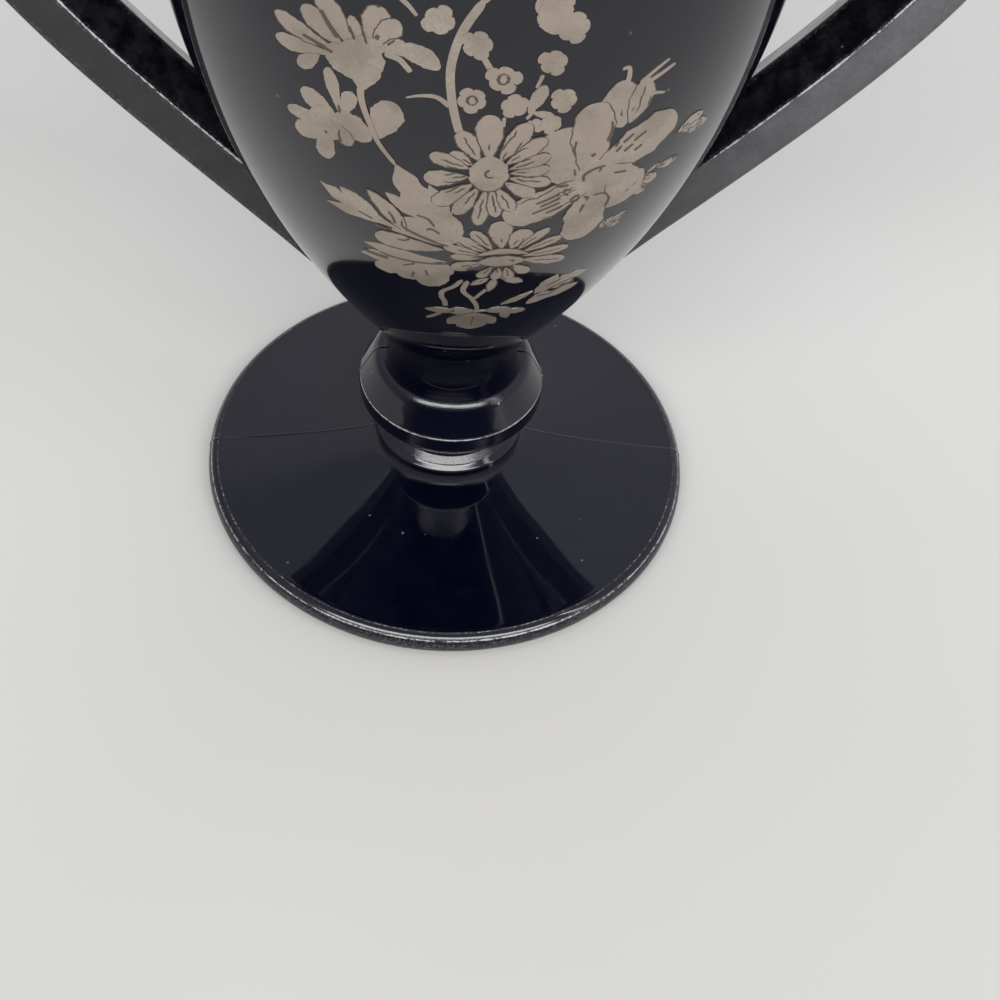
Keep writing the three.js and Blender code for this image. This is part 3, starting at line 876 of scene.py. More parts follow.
@dataclass
class Cup:
    """The cup: a parabola up to its widest point, a slight waist, a flared mouth and a rounded cavity."""

    base: float = 49.8
    height: float = 153.4
    base_radius: float = 17.1
    radius: float = 51.6
    widest: float = 100.2
    waisting: float = 0.8
    rim_radius: float = 55.0
    flare_power: float = 4.0
    wall: float = 4.6
    floor: float = 12.5
    rim: float = field(init=False)
    widest_z: float = field(init=False)
    floor_z: float = field(init=False)
    finish: BlackGlass = BlackGlass(
        "black_glass_cup", ripple_length=26.0, ripple_depth=0.020, grain_length=1.3, grain_depth=0.0004
    )

    def __post_init__(self) -> None:
        """Sets the heights of the rim, of the widest point and of the cavity's floor over the table."""
        self.rim = self.base + self.height
        self.widest_z = self.base + self.widest
        self.floor_z = self.base + self.floor

    def flare(self, z: Array) -> tuple[Array, Array]:
        """The share of the way from the widest point to the rim, and what the flare adds there.

        Args:
            z: Heights.

        Returns:
            Shares from 0 to 1, and widths.
        """
        share = np.clip((z - self.widest_z) / (self.rim - self.widest_z), 0, 1)
        return share, (self.rim_radius - self.radius) * share**self.flare_power

    def outside(self, z: Array) -> Array:
        """Outer radius: a parabola below the widest point, above it a sine-squared waist and a power flare.

        Args:
            z: Heights.

        Returns:
            Radii.
        """
        low = self.radius - (self.radius - self.base_radius) * ((self.widest_z - z) / self.widest) ** 2
        share, flare = self.flare(z)
        high = self.radius - self.waisting * np.sin(np.pi * share) ** 2 + flare
        return np.where(z <= self.widest_z, low, high)

    def cavity(self, z: Array) -> Array:
        """Radius of the cavity: a quarter of an ellipse below the widest point, the flare above it.

        Args:
            z: Heights.

        Returns:
            Radii.
        """
        left = np.clip((self.widest_z - z) / (self.widest_z - self.floor_z), 0, 1)
        return (self.radius - self.wall) * np.sqrt(1 - left**2) + self.flare(z)[1]

    def build(self) -> Piece:
        """Turns and dresses the cup.

        Returns:
            The cup.
        """
        lip = self.wall / 2
        lip_z = self.rim - lip
        lip_r = float(self.outside(np.array(lip_z))) - lip
        up = np.linspace(self.base, lip_z, 150, endpoint=False)
        outer = np.stack([self.outside(up), up], axis=1)
        turn = np.linspace(0, np.pi, 26)
        edge = np.stack([lip_r + lip * np.cos(turn), lip_z + lip * np.sin(turn)], axis=1)
        quarter = np.linspace(np.pi / 2, 0, 70)[1:]
        bottom = self.floor_z + (self.widest_z - self.floor_z) * (1 - np.cos(quarter))
        down = np.concatenate([np.linspace(lip_z, self.widest_z, 50)[1:], bottom])
        inner = np.stack([self.cavity(down), down], axis=1)
        inner[-1, 0] = 0.0
        seat = straight((0.0, self.base), (self.base_radius, self.base), 3.0)
        points = np.concatenate([seat, outer, edge, inner])
        marks = {"wear": 0.5 * bell(points[:, 1] - self.rim, 0.8)}
        seam_to = len(seat) + len(outer)
        piece = Turning("cup", points, len(seat), seam_to, 0.04, 41.0, marks, columns=330).build()
        return dress(piece, self.finish.material(), "bowl")


@dataclass
class Handle:
    """A loop handle, a strap with a ridge inside and outside where the mould's halves met."""

    cup: Cup
    side: Side
    width: float = 15.6
    depth: float = 7.2
    reach: float = 86.0
    root_above_base: float = 17.5
    root_degrees: float = 48.6
    root_pull: float = 42.8
    widest_pull: float = 34.2
    top_below_rim: float = 19.5
    crook_rise: float = 22.7
    top_straight: float = 22.0
    buried: float = 9.0
    inner_draft: float = 3.4
    outer_draft: float = 2.0
    ridge_half_width: float = 0.3
    end_overlap: float = 2.6
    inside_wear_and_highlight: float = 0.94
    outside_wear_and_highlight: float = 0.55
    joint_wear_and_highlight: float = 0.95
    joint_width: float = 1.8
    wave_height: float = 0.02
    wave_length: float = 21.0
    side_sheen_grey: tuple[float, float] = (0.135, 0.016)

    def name(self) -> str:
        """Name of the handle."""
        return f"handle_{self.side.name.lower()}"

    def finish(self) -> BlackGlass:
        """The handle's glass, its sides given a painted grey sheen, greyer on the right-hand handle.

        Returns:
            The finish.
        """
        grey = self.side_sheen_grey[0 if self.side is Side.RIGHT else 1]
        return BlackGlass(
            f"black_glass_{self.name()}",
            tint=(0.0030, 0.0028, 0.0050, 1.0),
            # Painted sheen: the handles' bloom is lifted far above the other glass's to lighten the straps.
            bloom_and_sheen=(0.021, 0.0185, 0.023, 1.0),
            wear_and_highlight_colour=(0.55, 0.55, 0.56, 1.0),
            side_sheen_colour=(grey, grey, grey * 1.06, 1.0),
            roughness_low=0.14,
            roughness_high=0.30,
            ripple_length=9.0,
            ripple_depth=0.006,
            grain_length=0.7,
            grain_depth=0.002,
        )

    def centre_line(self) -> Array:
        """The strap's centre line in the plane of the handles, in equal steps.

        It is a line, two cubic Bezier curves and a line, sampled finely and then again by its own length.

        Returns:
            Array of (distance from the axis, height).
        """
        lean = math.radians(self.root_degrees)
        rise = np.array([math.cos(lean), math.sin(lean)])
        root_z = self.cup.base + self.root_above_base
        root = np.array([float(self.cup.outside(np.array(root_z))) - self.depth / 2, root_z])
        top = self.cup.rim - self.top_below_rim
        wide = top - self.crook_rise
        end = float(self.cup.outside(np.array(top)))
        reach = self.reach
        lower = [root, root + rise * self.root_pull, (reach, wide - self.widest_pull), (reach, wide)]
        upper = [(reach, wide), (reach, (top + wide) / 2), (end + self.top_straight, top), (end, top)]
        parts = [straight(root - self.buried * rise, root, 0.5), bezier(lower, 400), bezier(upper, 300)]
        rough = np.concatenate([*parts, np.array([(end, top), (end - self.end_overlap, top)])])
        length = lengths(rough)
        even = np.linspace(0, length[-1], int(length[-1] / 0.9))
        return np.stack([np.interp(even, length, rough[:, 0]), np.interp(even, length, rough[:, 1])], axis=1)

    def strap(self) -> Piece:
        """The strap, a six-sided section with soft corners carried along the centre line.

        The point n, b of the section lands at the line's point plus n times the line's normal in the plane
        of the handles, and b along Y. Slow waves move it along the normal. The left-hand strap is turned
        half round the axis.

        Returns:
            The strap.
        """
        half = self.depth / 2
        edge = self.width / 2
        out = half + self.outer_draft
        into = -half - self.inner_draft
        ridge = self.ridge_half_width
        corners = [(half, -edge), (out, -ridge), (out, ridge), (half, edge)]
        corners += [(-half, edge), (into, ridge), (into, -ridge), (-half, -edge)]
        section, near = rounded(corners, [0.6, 0.15, 0.15, 0.6, 0.12, 0.12, 0.12, 0.12], 0.25, True)
        n, b = section.T
        line = self.centre_line()
        normals = square_to(line)
        x = line[:, :1] + normals[:, :1] * n
        z = line[:, 1:] + normals[:, 1:] * n
        y = b + 0 * x
        inside = (n < 0) & (np.abs(b) > 1.5)
        to_cup = np.hypot(x, b) - self.cup.outside(z)
        joint = bell(to_cup, self.joint_width) * (inside & (near > 0))
        # Painted highlight: the strap's edges and its joint with the cup are painted pale as well as worn.
        edge_wear_and_highlight = near * np.where(inside, self.inside_wear_and_highlight, self.outside_wear_and_highlight)
        marks = {
            "wear": np.maximum(edge_wear_and_highlight, self.joint_wear_and_highlight * joint),
            # Painted sheen on the side faces, stronger higher up.
            "side": (np.abs(b) > edge - 0.15) * np.clip((z - 50) / 75, 0.4, 1),
            "pitted": np.maximum(0.5 * joint, 0.1 * near * inside),
        }
        wave = self.wave_height * unevenness(x, y, z, self.wave_length)
        sign = self.side.value
        rings = np.stack([sign * (x + normals[:, :1] * wave), sign * y, z + normals[:, 1:] * wave], axis=-1)
        middle = section.mean(axis=0)
        ends = line[[0, -1]] + normals[[0, -1]] * middle[0]
        tips = [(sign * along, sign * middle[1], height) for along, height in ends]
        return tube(f"{self.name()}_strap", rings, tips, marks, 50.0)

    def build(self) -> Piece:
        """Builds and dresses the strap."""
        return dress(self.strap(), self.finish().material(), self.name())


# Silver


@dataclass(frozen=True)
class Blade:
    """A petal, leaf or sepal, laid on the cup from its base to its tip."""

    base: Point
    tip: Point
    width: float
    belly: float = 0.6
    fullness: float = 0.62
    bend: float = 0.0
    lobes: int = 0
    lobe_depth: float = 0.0
    notch: float = 0.0
    engraving: Engraving = COMBED

    def grid(self) -> Array:
        """Points (x, y) of the blade on a grid, along it and across it.

        The midrib runs from base to tip and sags sideways as a parabola. The half-width is a power of the
        sine of pi times a power of the share of the way, so that it is widest at the belly, and two
        small waves make it uneven. Lobes multiply it by a wave, and a notch pulls the tip's middle back.

        Returns:
            Array of (along, across, 2).
        """
        share = (1 - np.cos(np.linspace(0, np.pi, BLADE_GRID[0]))) / 2
        across = np.linspace(-1, 1, BLADE_GRID[1])
        base = np.array(self.base, float)
        axis = np.array(self.tip, float) - base
        length = float(np.linalg.norm(axis))
        side = np.array([-axis[1], axis[0]]) / length
        centre = base + share[:, None] * axis + (4 * self.bend * share * (1 - share))[:, None] * side
        power = math.log(0.5) / math.log(self.belly)
        half = self.width / 2 * np.maximum(np.sin(np.pi * share**power), 0.0) ** self.fullness
        half = np.maximum(half, 0.03)[:, None] * np.abs(across)
        drift = 5.7 * self.base[0] + 3.1 * self.tip[1] + np.where(across < 0, 0.0, 2.0)
        way = 2 * np.pi * share[:, None]
        half = half * (1 + 0.045 * np.sin(3.1 * way + drift) + 0.035 * np.sin(7.3 * way + 2 * drift))
        if self.lobes:
            wave = np.cos(2 * np.pi * self.lobes * share[:, None] + np.where(across < 0, 0.0, 1.1))
            half = half * (1 - self.lobe_depth * (0.5 + 0.5 * wave))
        left = -square_to(centre, share)
        points = centre[:, None, :] + left[:, None, :] * (half * np.sign(across))[..., None]
        pull = self.notch * (1 - across**2) * share[:, None] ** 6
        return points - pull[..., None] * (axis / length)


@dataclass(frozen=True)
class Vine:
    """A stem, twig or tendril, a ribbon along a smooth line through its points."""

    points: tuple[Point, ...]
    width: float
    tip_width: float
    engraving: Engraving = PLAIN

    def grid(self) -> Array:
        """Points (x, y) of the ribbon on a grid, along it and across it.

        The line is a Catmull-Rom spline, and the width goes evenly from the base's to the tip's, with
        rounded ends.

        Returns:
            Array of (along, across, 2).
        """
        knots = np.array(self.points, float)
        padded = np.concatenate([[2 * knots[0] - knots[1]], knots, [2 * knots[-1] - knots[-2]]])
        spans = len(knots) - 1
        share = np.linspace(0, spans, VINE_STEPS * spans + 1)
        k = np.minimum(share.astype(int), spans - 1)
        t = (share - k)[:, None]
        a, b, c, d = padded[k], padded[k + 1], padded[k + 2], padded[k + 3]
        bent = (2 * a - 5 * b + 4 * c - d) * t**2 + (3 * b - a - 3 * c + d) * t**3
        centre = 0.5 * (2 * b + (c - a) * t + bent)
        way = share / spans
        half = (self.width + (self.tip_width - self.width) * way) / 2
        half = half * np.clip(np.minimum(way, 1 - way) * 25, 0.15, 1.0) ** 0.5
        left = -square_to(centre)
        off = half[:, None] * np.linspace(-1, 1, VINE_COLUMNS)
        return centre[:, None, :] + left[:, None, :] * off[..., None]


def blades(engraving: Engraving, *rows: Sequence[float]) -> list[Blade]:
    """Petals or leaves, one from each row.

    Args:
        engraving: Their engraving.
        *rows: x and y of the base, x and y of the tip, and the other fields of a blade in their order.

    Returns:
        The blades.
    """
    return [Blade(row[:2], row[2:4], *row[4:], engraving=engraving) for row in rows]


def vines(*rows: Sequence[float]) -> list[Vine]:
    """Stems, one from each row of the width at the base, the width at the tip, and x, y of its points."""
    return [Vine(tuple(zip(row[2::2], row[3::2])), row[0], row[1]) for row in rows]


def grooves(*rows: Sequence[float]) -> list[Vine]:
    """Engraved lines, one from each row of a width, and x, y of its points."""
    return [Vine(tuple(zip(row[1::2], row[2::2])), row[0], row[0] * 0.7, GROOVE) for row in rows]


def petals(start: float, *tips: Sequence[float]) -> list[Blade]:
    """Petals from a ring round the flower's middle out to their tips.

    Args:
        start: Radius of the ring where the petals begin.
        *tips: x and y of each tip, and the width of its petal.

    Returns:
        The petals.
    """
    made = []
    for x, y, width in tips:
        share = start / math.hypot(x, y)
        made.append(Blade((x * share, y * share), (x, y), width, belly=0.68, fullness=0.42))
    return made


def disc(centre: Point, width: float, height: float, engraving: Engraving) -> Blade:
    """An oval of a width and a height, a flower's eye."""
    x, y = centre
    return Blade((x, y - height / 2), (x, y + height / 2), width, 0.5, 0.5, engraving=engraving)


def posy(centre: Point, radius: float, turn_degrees: float, eye: Engraving = PLAIN) -> list[Blade]:
    """A small five-petalled flower with a raised middle.

    Args:
        centre: Its middle.
        radius: From the middle to a petal's tip.
        turn_degrees: Direction of the first petal.
        eye: Engraving of the middle.

    Returns:
        Five petals and the middle.
    """
    made = []
    for k in range(5):
        angle = math.radians(turn_degrees + 72 * k)
        reach = radius * (1 + 0.12 * math.sin(3 * k + turn_degrees))
        base = (centre[0] + 0.1 * reach * math.cos(angle), centre[1] + 0.1 * reach * math.sin(angle))
        tip = (centre[0] + reach * math.cos(angle), centre[1] + reach * math.sin(angle))
        made.append(Blade(base, tip, radius * 0.92, 0.64, 0.5, engraving=PLAIN))
    made.append(disc(centre, radius * 0.8, radius * 0.84, eye))
    return made


@dataclass
class SilverMotif:
    """One flower, leaf or group of stems: its shapes, and where its middle sits on the cup."""

    name: str
    azimuth: float
    height: float
    shapes: list[Blade | Vine]
    node: str = "silver_bunch"
    relief: float = 0.06
    rise: float = 0.006
    rise_steps: int = 18
    groove_steps: int = 20
    sunk: float = 0.06

    def shell(
        self, cup: Cup, number: int, shape: Blade | Vine
    ) -> tuple[Array, Array, Array, Array]:
        """A closed shell over one shape.

        A point x, y of the shape lands on the cup at an arc length y up its side and x round it, from the
        motif's middle. The front stands out by the relief, a little more for each later shape, and the
        back lies a little inside the glass. v is the distance from the midrib in millimetres, or its share
        of the half-width on an eye.

        Args:
            cup: The cup that carries it.
            number: Number of the shape, for its engraving.
            shape: The shape.

        Returns:
            Vertices, quads, (u, v) and the distance of each point from the shape's outline.
        """
        grid = shape.grid()
        rows, columns = grid.shape[:2]
        heights = np.linspace(cup.base + 1, cup.rim - 8, 1500)
        radii = cup.outside(heights)
        climb = lengths(np.stack([heights, radii], axis=1))
        middle = np.interp(self.height, heights, climb)
        z = np.interp(middle + grid[..., 1], climb, heights)
        r = cup.outside(z)
        r_middle = float(cup.outside(np.array(self.height)))
        turn = math.radians(self.azimuth) + grid[..., 0] / ((r + r_middle) / 2)
        lean = np.arctan(np.interp(z, heights, np.gradient(radii, heights)))
        share = np.linspace(0, 1, rows)[:, None]
        across = np.linspace(-1, 1, columns)
        steps = self.groove_steps if shape.engraving is GROOVE else number % self.rise_steps
        front = (self.relief + self.rise * steps) * (0.94 + 0.06 * (1 - across**4)) + 0 * share
        layers = []
        for out in (front, -self.sunk + 0 * front):
            radial = r + out * np.cos(lean)
            drop = out * np.sin(lean)
            layers.append(np.stack([radial * np.sin(turn), -radial * np.cos(turn), z - drop], axis=-1))
        face = grid_quads(rows, columns, False)
        count = rows * columns
        index = np.arange(count).reshape(rows, columns)
        rim = np.concatenate([index[:-1, 0], index[-1, :-1], index[:0:-1, -1], index[0, :0:-1]])
        after = np.roll(rim, -1)
        wall = np.stack([rim, rim + count, after + count, after], axis=1)
        left = np.linalg.norm(grid - grid[:, :1], axis=-1)
        right = np.linalg.norm(grid - grid[:, -1:], axis=-1)
        to_tip = np.linalg.norm(grid[-1, columns // 2] - grid[0, columns // 2]) * (1 - share) + 0 * across
        inset = np.minimum(np.minimum(left, right), to_tip)
        if shape.engraving in (PLAIN, GROOVE):
            inset = inset + 1.0
        u = shape.engraving.value + number + 0.01 + 0.98 * share + 0 * across
        v = across + 0 * share if shape.engraving is EYE else (left - right) / 2
        uv = np.stack([u, v], axis=-1).reshape(-1, 2)
        quads = np.concatenate([face[:, ::-1], face + count, wall])
        return np.concatenate(layers).reshape(-1, 3), quads, np.tile(uv, (2, 1)), np.tile(inset.ravel(), 2)

    def build(self, cup: Cup, material: Material) -> Piece:
        """Joins the shells of all the shapes in one piece and dresses it.

        Args:
            cup: The cup that carries it.
            material: The silver.

        Returns:
            The piece.
        """
        shells = [self.shell(cup, number, shape) for number, shape in enumerate(self.shapes)]
        points, quads, uvs, insets = zip(*shells)
        starts = np.cumsum([0] + [len(part) for part in points])
        faces = np.concatenate([part + start for part, start in zip(quads, starts)])
        marks = {"inset": np.concatenate(insets)}
        piece = make_object(self.name, np.concatenate(points), faces, uv=np.concatenate(uvs), marks=marks)
        return dress(piece, material, self.node)


def motif(name: str, azimuth: float, height: float, *shapes: Blade | Vine, **others: object) -> SilverMotif:
    """A motif of these shapes."""
    return SilverMotif(name, azimuth, height, list(shapes), **others)


# x runs to the right and y up from the middle of each motif, in millimetres
SPRAY = [
    # The two open lilies on the left with their bud and stems
    motif(
        "silver_lily_upper", -17, 140.5,
        *blades(PLAIN, (-4.6, -2, -14.6, -2.7, 2.6, 0.74, 0.5, 0.3)),
        *blades(
            OUTLINED, (-4.6, -1.4, -14.3, 1.4, 3.2, 0.7, 0.44, 0.4),
            (-3.6, -0.8, -9.7, 4.1, 3.6, 0.7, 0.4, 0.2), (-2.4, -0.6, -7.5, 6.8, 3.5, 0.66, 0.36, -0.3),
            (-1.2, -0.2, -2.8, 4.7, 2.1, 0.66, 0.5),
            (-0.6, 0.2, 1.1, 7.1, 4.2, 0.66, 0.38, -0.3, 0, 0, 0.4),
            (0.2, 0.4, 3.9, 5.2, 3.3, 0.66, 0.4, 0.2), (1.2, 0.6, 4.5, 2.4, 1.9, 0.6, 0.5),
        ),
        *blades(PLAIN, (1.4, 0.2, 9.1, -1.3, 3.1, 0.66, 0.52, 1.5)),
        *vines((1, 0.8, 1.8, 0, 3.7, -0.5, 4.7, -1.5, 5.3, -2.3)),
        *blades(
            PLAIN, (-7.6, -3, -11.2, -6.1, 2.3, 0.64, 0.5), (-1.9, -7.3, -1.3, 2, 5.8, 0.6, 0.62, -0.4),
            (-1.4, -5.4, -6.4, -1, 4.6, 0.6, 0.5, -0.2), (-4.8, -1.6, 1.8, 1.2, 3.6, 0.5, 0.5),
        ),
        *vines((1.1, 0.7, -1.8, -6.6, -1.8, -8.4, -1.4, -10.6, -0.6, -13.4, 0.4, -16.4, 2.7, -20.2)),
        *grooves(
            (0.7, -4.7, 0.7, -5.9, 2.3, -7, 4.2), (0.34, -2.3, 1.1, -3, 3),
            (0.34, -0.6, 0.9, -1.1, 2.6, -1.3, 3.6), (0.7, 0.7, 2, 1, 2.6), (0.34, 2.2, 1.4, 3.2, 2.3),
            (0.5, -5.6, -1.9, -7.2, -1.4, -10, -0.6),
        ),
        node="silver_lilies",
    ),
    motif(
        "silver_lily_lower", -23.2, 126.4,
        *blades(
            PLAIN, (-0.4, 0.2, -5.6, 4.1, 3.5, 0.62, 0.42), (-1.8, -0.8, -8.7, -1, 2.6, 0.66, 0.42),
            (-1.8, -1.4, -7.7, -5, 3.5, 0.64, 0.4), (-2.2, -1.6, -3.5, -8.7, 3.1, 0.66, 0.4),
            (0.4, 0.6, -1, 9.5, 2.1, 0.74, 0.5), (0.3, 0.4, 2.3, 6.3, 2.4, 0.76, 0.46),
            (-0.6, 1.4, 4.6, -2, 4.8, 0.46, 0.5),
        ),
        *blades(OUTLINED, (-0.2, -0.6, 1, -4.4, 3, 0.6, 0.4)),
        disc((-2.4, -1.2), 5.6, 6.4, PLAIN),
        *grooves(
            (0.34, -0.2, -3.9, -0.4, -2.6, -0.2, -1.6), (0.6, -2.6, -3, -2.4, -2.8),
            (0.34, 0.2, 1.9, 0.1, 3.2),
        ),
        node="silver_lilies",
    ),
    motif(
        "silver_bud", -14.3, 129.8,
        *blades(PLAIN, (-2.6, -5.2, 0.5, 2.7, 4.7, 0.66, 0.5)),
        node="silver_lilies",
    ),
    # The curved main stem, the small flowers to its right and a sprig to its left
    motif(
        "silver_stem", -3.7, 129.6,
        *vines(
            (1.2, 1.2, 0.6, -1.2, 0, 0, -1, 5.3, -1.2, 10.6, 0.1, 16, 2.6, 20.7),
            (1.25, 0.9, 2.3, 20.2, 5, 25, 6.2, 30.5, 5.2, 37),
            (0.9, 0.3, -1.1, 3.6, -3, 5, -5.2, 4.9, -7.2, 4.2), (0.9, 0.3, 5.4, 26, 9, 28.5, 11.5, 28.3),
        ),
    ),
    motif(
        "silver_posies", -1.6, 143.5,
        *posy((-4.9, 3.2), 2.25, -7), *posy((0.2, 0.1), 2.2, 75), *posy((3.9, -5.2), 2.35, 8, EYE),
        *posy((-0.1, -9), 2.15, 50, EYE), *posy((5.8, -9.8), 2.05, 25), *posy((10.4, -2.6), 2.1, 80),
        *posy((12.6, -9.2), 2.1, 62), *posy((9, -13.4), 1.3, 15), *posy((11.2, -13.4), 1.7, 50),
        *vines((0.8, 0.9, 0.8, -1.4, 1.5, -2.6, 2.2, -3.9), (0.6, 0.5, 9.2, -4.6, 8.5, -6.8)),
        *blades(PLAIN, (7.8, -11.2, 9.8, -6.4, 2.2, 0.6, 0.5), (8.4, -11.1, 11.6, -12, 1.3, 0.55, 0.6)),
        *vines((0.6, 0.5, 8.6, -10.6, 7.6, -12.2), (0.5, 0.5, 4.5, -11.8, 4.5, -13.6)),
    ),
    motif(
        "silver_cluster", -1.6, 143.5,
        *posy((9.8, 6), 3, 30), *posy((12.6, 2.6), 2.4, 75),
        *blades(PLAIN, (9, 8, 10.6, 1.8, 4.4, 0.6, 0.5)),
        *posy((8.9, 11.2), 3.1, 10), *posy((13.6, 10), 3, 50),
    ),
    motif(
        "silver_sprig", -12.9, 148.8,
        *vines((0.8, 0.5, 0, 0.6, 1.4, -0.6, 2.4, -1.8)),
        *blades(COMBED, (-1.6, 1.8, 0.4, 0.2, 1.7, 0.5, 0.6)),
    ),
    # The half-open flower at the upper right, with thin tendrils
    motif(
        "silver_tulip", 23.4, 131.9,
        *blades(
            COMBED, (0.6, -4.6, -1.2, 4.4, 6, 0.56, 0.5, 0.5), (1.4, -4.2, 2.4, 3.9, 4.2, 0.58, 0.5, -0.5),
        ),
        *vines(
            (0.9, 0.5, -0.6, 3.6, -0.5, 5, -0.8, 6.4, -1.8, 6.4), (0.8, 0.4, 1.6, 3.2, 3.6, 4.8, 5.7, 6.2),
            (0.9, 0.5, 2.4, 2.8, 4.6, 3.8, 6.9, 5), (0.9, 0.4, 3, 0.2, 4.4, 0.6, 6.4, 0.1),
        ),
    ),
    # The two daisies in the middle, the lower one seen half from the side, with a star of sepals
    motif(
        "silver_daisy_upper", 1.9, 120.5,
        *petals(
            2.8,
            (-0.6, 11.8, 4.1), (-4.5, 8.5, 3.2), (-5.6, 4.3, 2.4), (-8.5, 3.4, 3), (-9.3, -1.9, 3.7),
            (-7.8, -7.6, 3.5), (-4.5, -9.7, 3), (-0.9, -12.2, 2.7), (1.8, -10, 2.5), (4.2, -8.6, 2.7),
            (7.1, -5, 3), (9.3, -2.4, 2.8), (8.8, 0.8, 2.7), (8.6, 3.6, 2.7), (7.6, 7.2, 3),
            (4.9, 10.3, 3.4),
        ),
        disc((0, 0.1), 5.7, 7.6, PLAIN),
        *grooves(
            (0.3, -2.5, -1.8, -1.2, -3.3, 0.4, -3.7, 1.8, -3, 2.6, -1.4),
            (0.45, 0, 1.1, -0.5, 0.3, -0.2, -0.5, 0.7, -0.5),
        ),
    ),
    motif(
        "silver_daisy_lower", 6.8, 99.4,
        *petals(
            2.9,
            (-1.4, 10.7, 3.9), (-5.3, 8.1, 2.4), (-8, 6.2, 2.8), (-9.3, 3.2, 2.6), (-8.2, 0.3, 2.2),
            (2.9, 8.2, 3.8), (6.4, 7.9, 2.2), (8.9, 4.9, 2.4), (10.7, 1.2, 2.6), (10.8, -2.8, 3.1),
            (4.9, -5.6, 2.6), (2.1, -7.2, 2.2), (-0.4, -7.1, 2.2), (-3.2, -6.4, 2.2), (-7.9, -3.4, 3.2),
        ),
        *blades(
            OUTLINED, (-4.1, 0.9, 4.1, 0.9, 1.9, 0.5, 0.5, 1.3), (-3.7, -1.1, 3.7, -1.1, 3.6, 0.5, 0.5, 0.2),
        ),
        *grooves(
            (0.4, 1.2, -0.6, 1.9, -0.7, 1.7, -1.3), (0.35, -6.2, -2.6, -5.2, -2.2, -4.6, -3, -5.4, -3.6),
        ),
        *blades(
            COMBED, (-0.4, -6.6, -1, -12, 1.9, 0.5, 0.8), (-1.4, -6.6, -4.4, -9.4, 1.9, 0.5, 0.8),
            (0.4, -6.6, 4.6, -9, 2.2, 0.6, 0.6), (0.2, -6.4, 2.4, -6.6, 1.7, 0.5, 0.8),
        ),
    ),
    # The large open flower on the right, with six broad petals
    motif(
        "silver_rose", 21.5, 117.9,
        *blades(PLAIN, (-1, -1.6, -8.4, 10.8, 10, 0.6, 0.36, 0.3, 3, 0.05)),
        *blades(
            OUTLINED, (-0.6, -1.4, -3, 15.4, 6.6, 0.7, 0.36, 0.3),
            (-1.2, -0.8, 11.6, 8.8, 8.8, 0.64, 0.34, 0.4, 4, 0.05),
            (-1.2, 1.8, 8.2, -8.2, 9.6, 0.62, 0.36, 0.2, 3, 0.06),
            (-0.4, 0.2, 0.7, -16.4, 7.8, 0.66, 0.32, 0.2, 3, 0.06),
        ),
        *blades(COMBED, (0.2, 0.2, -13, -8.2, 7.6, 0.64, 0.34, 0.4)),
        disc((-0.2, 0), 7, 7.4, PLAIN),
        *grooves(
            (0.5, -1.9, -0.6, -2.1, 0.7, -0.9, 1.7, 1, 2.1), (0.34, 0.5, 1.9, 0.3, 0.9),
            (0.3, -4.7, 8.4, -4.7, 6.8, -4.3, 5.6), (0.4, 0.2, 7.4, 0.5, 9.4, 0.2, 11.2),
            (0.34, 2.2, 4.6, 2.9, 5.6), (0.34, 3.6, 4.2, 4.8, 5.4), (0.34, 3, 6.2, 4.4, 7.6),
            (0.34, 4.8, 6, 6.6, 7.4), (0.34, 1.8, 5.8, 2.2, 6.8), (0.34, 5.4, 3.8, 6.6, 4.6),
            (0.5, -1.8, 4.8, -1.2, 5.2), (0.34, -3.6, 1.2, -3.9, 2.4), (0.3, 5.2, -0.6, 4.2, -0.5, 3, -0.2),
            (0.3, 3.6, -8.4, 3.8, -6.4, 2.4, -4.8, 0.6, -4.6), (0.4, -4.2, -0.9, -5.4, -1, -6.4, -0.4),
            (0.4, -3.6, -2.2, -4.6, -2, -4.4, -2.9, -3.8, -3.4),
            (0.4, -3.2, -4.6, -2.2, -3.8, -1.9, -4.8, -2.8, -5.3, -3.2, -4.6),
            (0.34, -1, -4.6, -0.2, -4.9, -0.4, -5.6), (0.45, -0.5, -6.6, -0.8, -8.4),
            (0.4, -5.2, -2.8, -8.6, -4.6), (0.4, -5, -3.8, -7.8, -5.4), (0.4, -4.8, -4.9, -8.8, -7),
            (0.4, -4.2, -5.8, -6.6, -7.2),
        ),
    ),
    # The lobed leaves at the left and right of the lower daisy
    motif(
        "silver_leaf_left", -3.5, 103.5,
        *blades(
            PLAIN, (0.4, 0, -8.4, 17.6, 6.8, 0.5, 0.7, 0.4, 4, 0.3),
            (-3.2, 5.6, -10.2, 10.8, 3, 0.5, 0.9, 0.2), (0.2, 0, -8.4, 4.8, 5, 0.66, 0.46, 0.2),
            (-1.8, 3.4, -3.8, 14.4, 3.4, 0.54, 0.9, -0.4, 3, 0.2),
            (0.2, 0.2, -1.2, 8.2, 2.9, 0.5, 0.8, -0.4),
            (-6.4, 1.2, -20.7, 8.5, 3.6, 0.66, 0.9, 0.5, 4, 0.24),
            (-10, 2.2, -20.3, 4.1, 2.3, 0.6, 1, -0.2, 2, 0.2), (-11.4, 4.2, -17.4, 9, 2.7, 0.5, 0.8),
        ),
        *blades(
            OUTLINED, (-7.4, 1.4, -13, 10.5, 3.2, 0.5, 0.66, -0.5),
            (-1.2, -2.2, -12.5, -1.2, 4.6, 0.72, 0.36, 0.2),
        ),
        *vines((0.7, 1, 0, -0.5, -3.2, -0.3, -6.4, 0.9, -9.6, 1.7)),
        *grooves(
            (0.42, -0.8, -0.9, -3.4, 0.1, -6, 1.5, -7.8, 2.9, -7.9, 4.6),
            (0.45, -9, 3.4, -9.3, 5, -9.9, 6.2), (0.5, -10.4, 1.2, -12.4, 1.9),
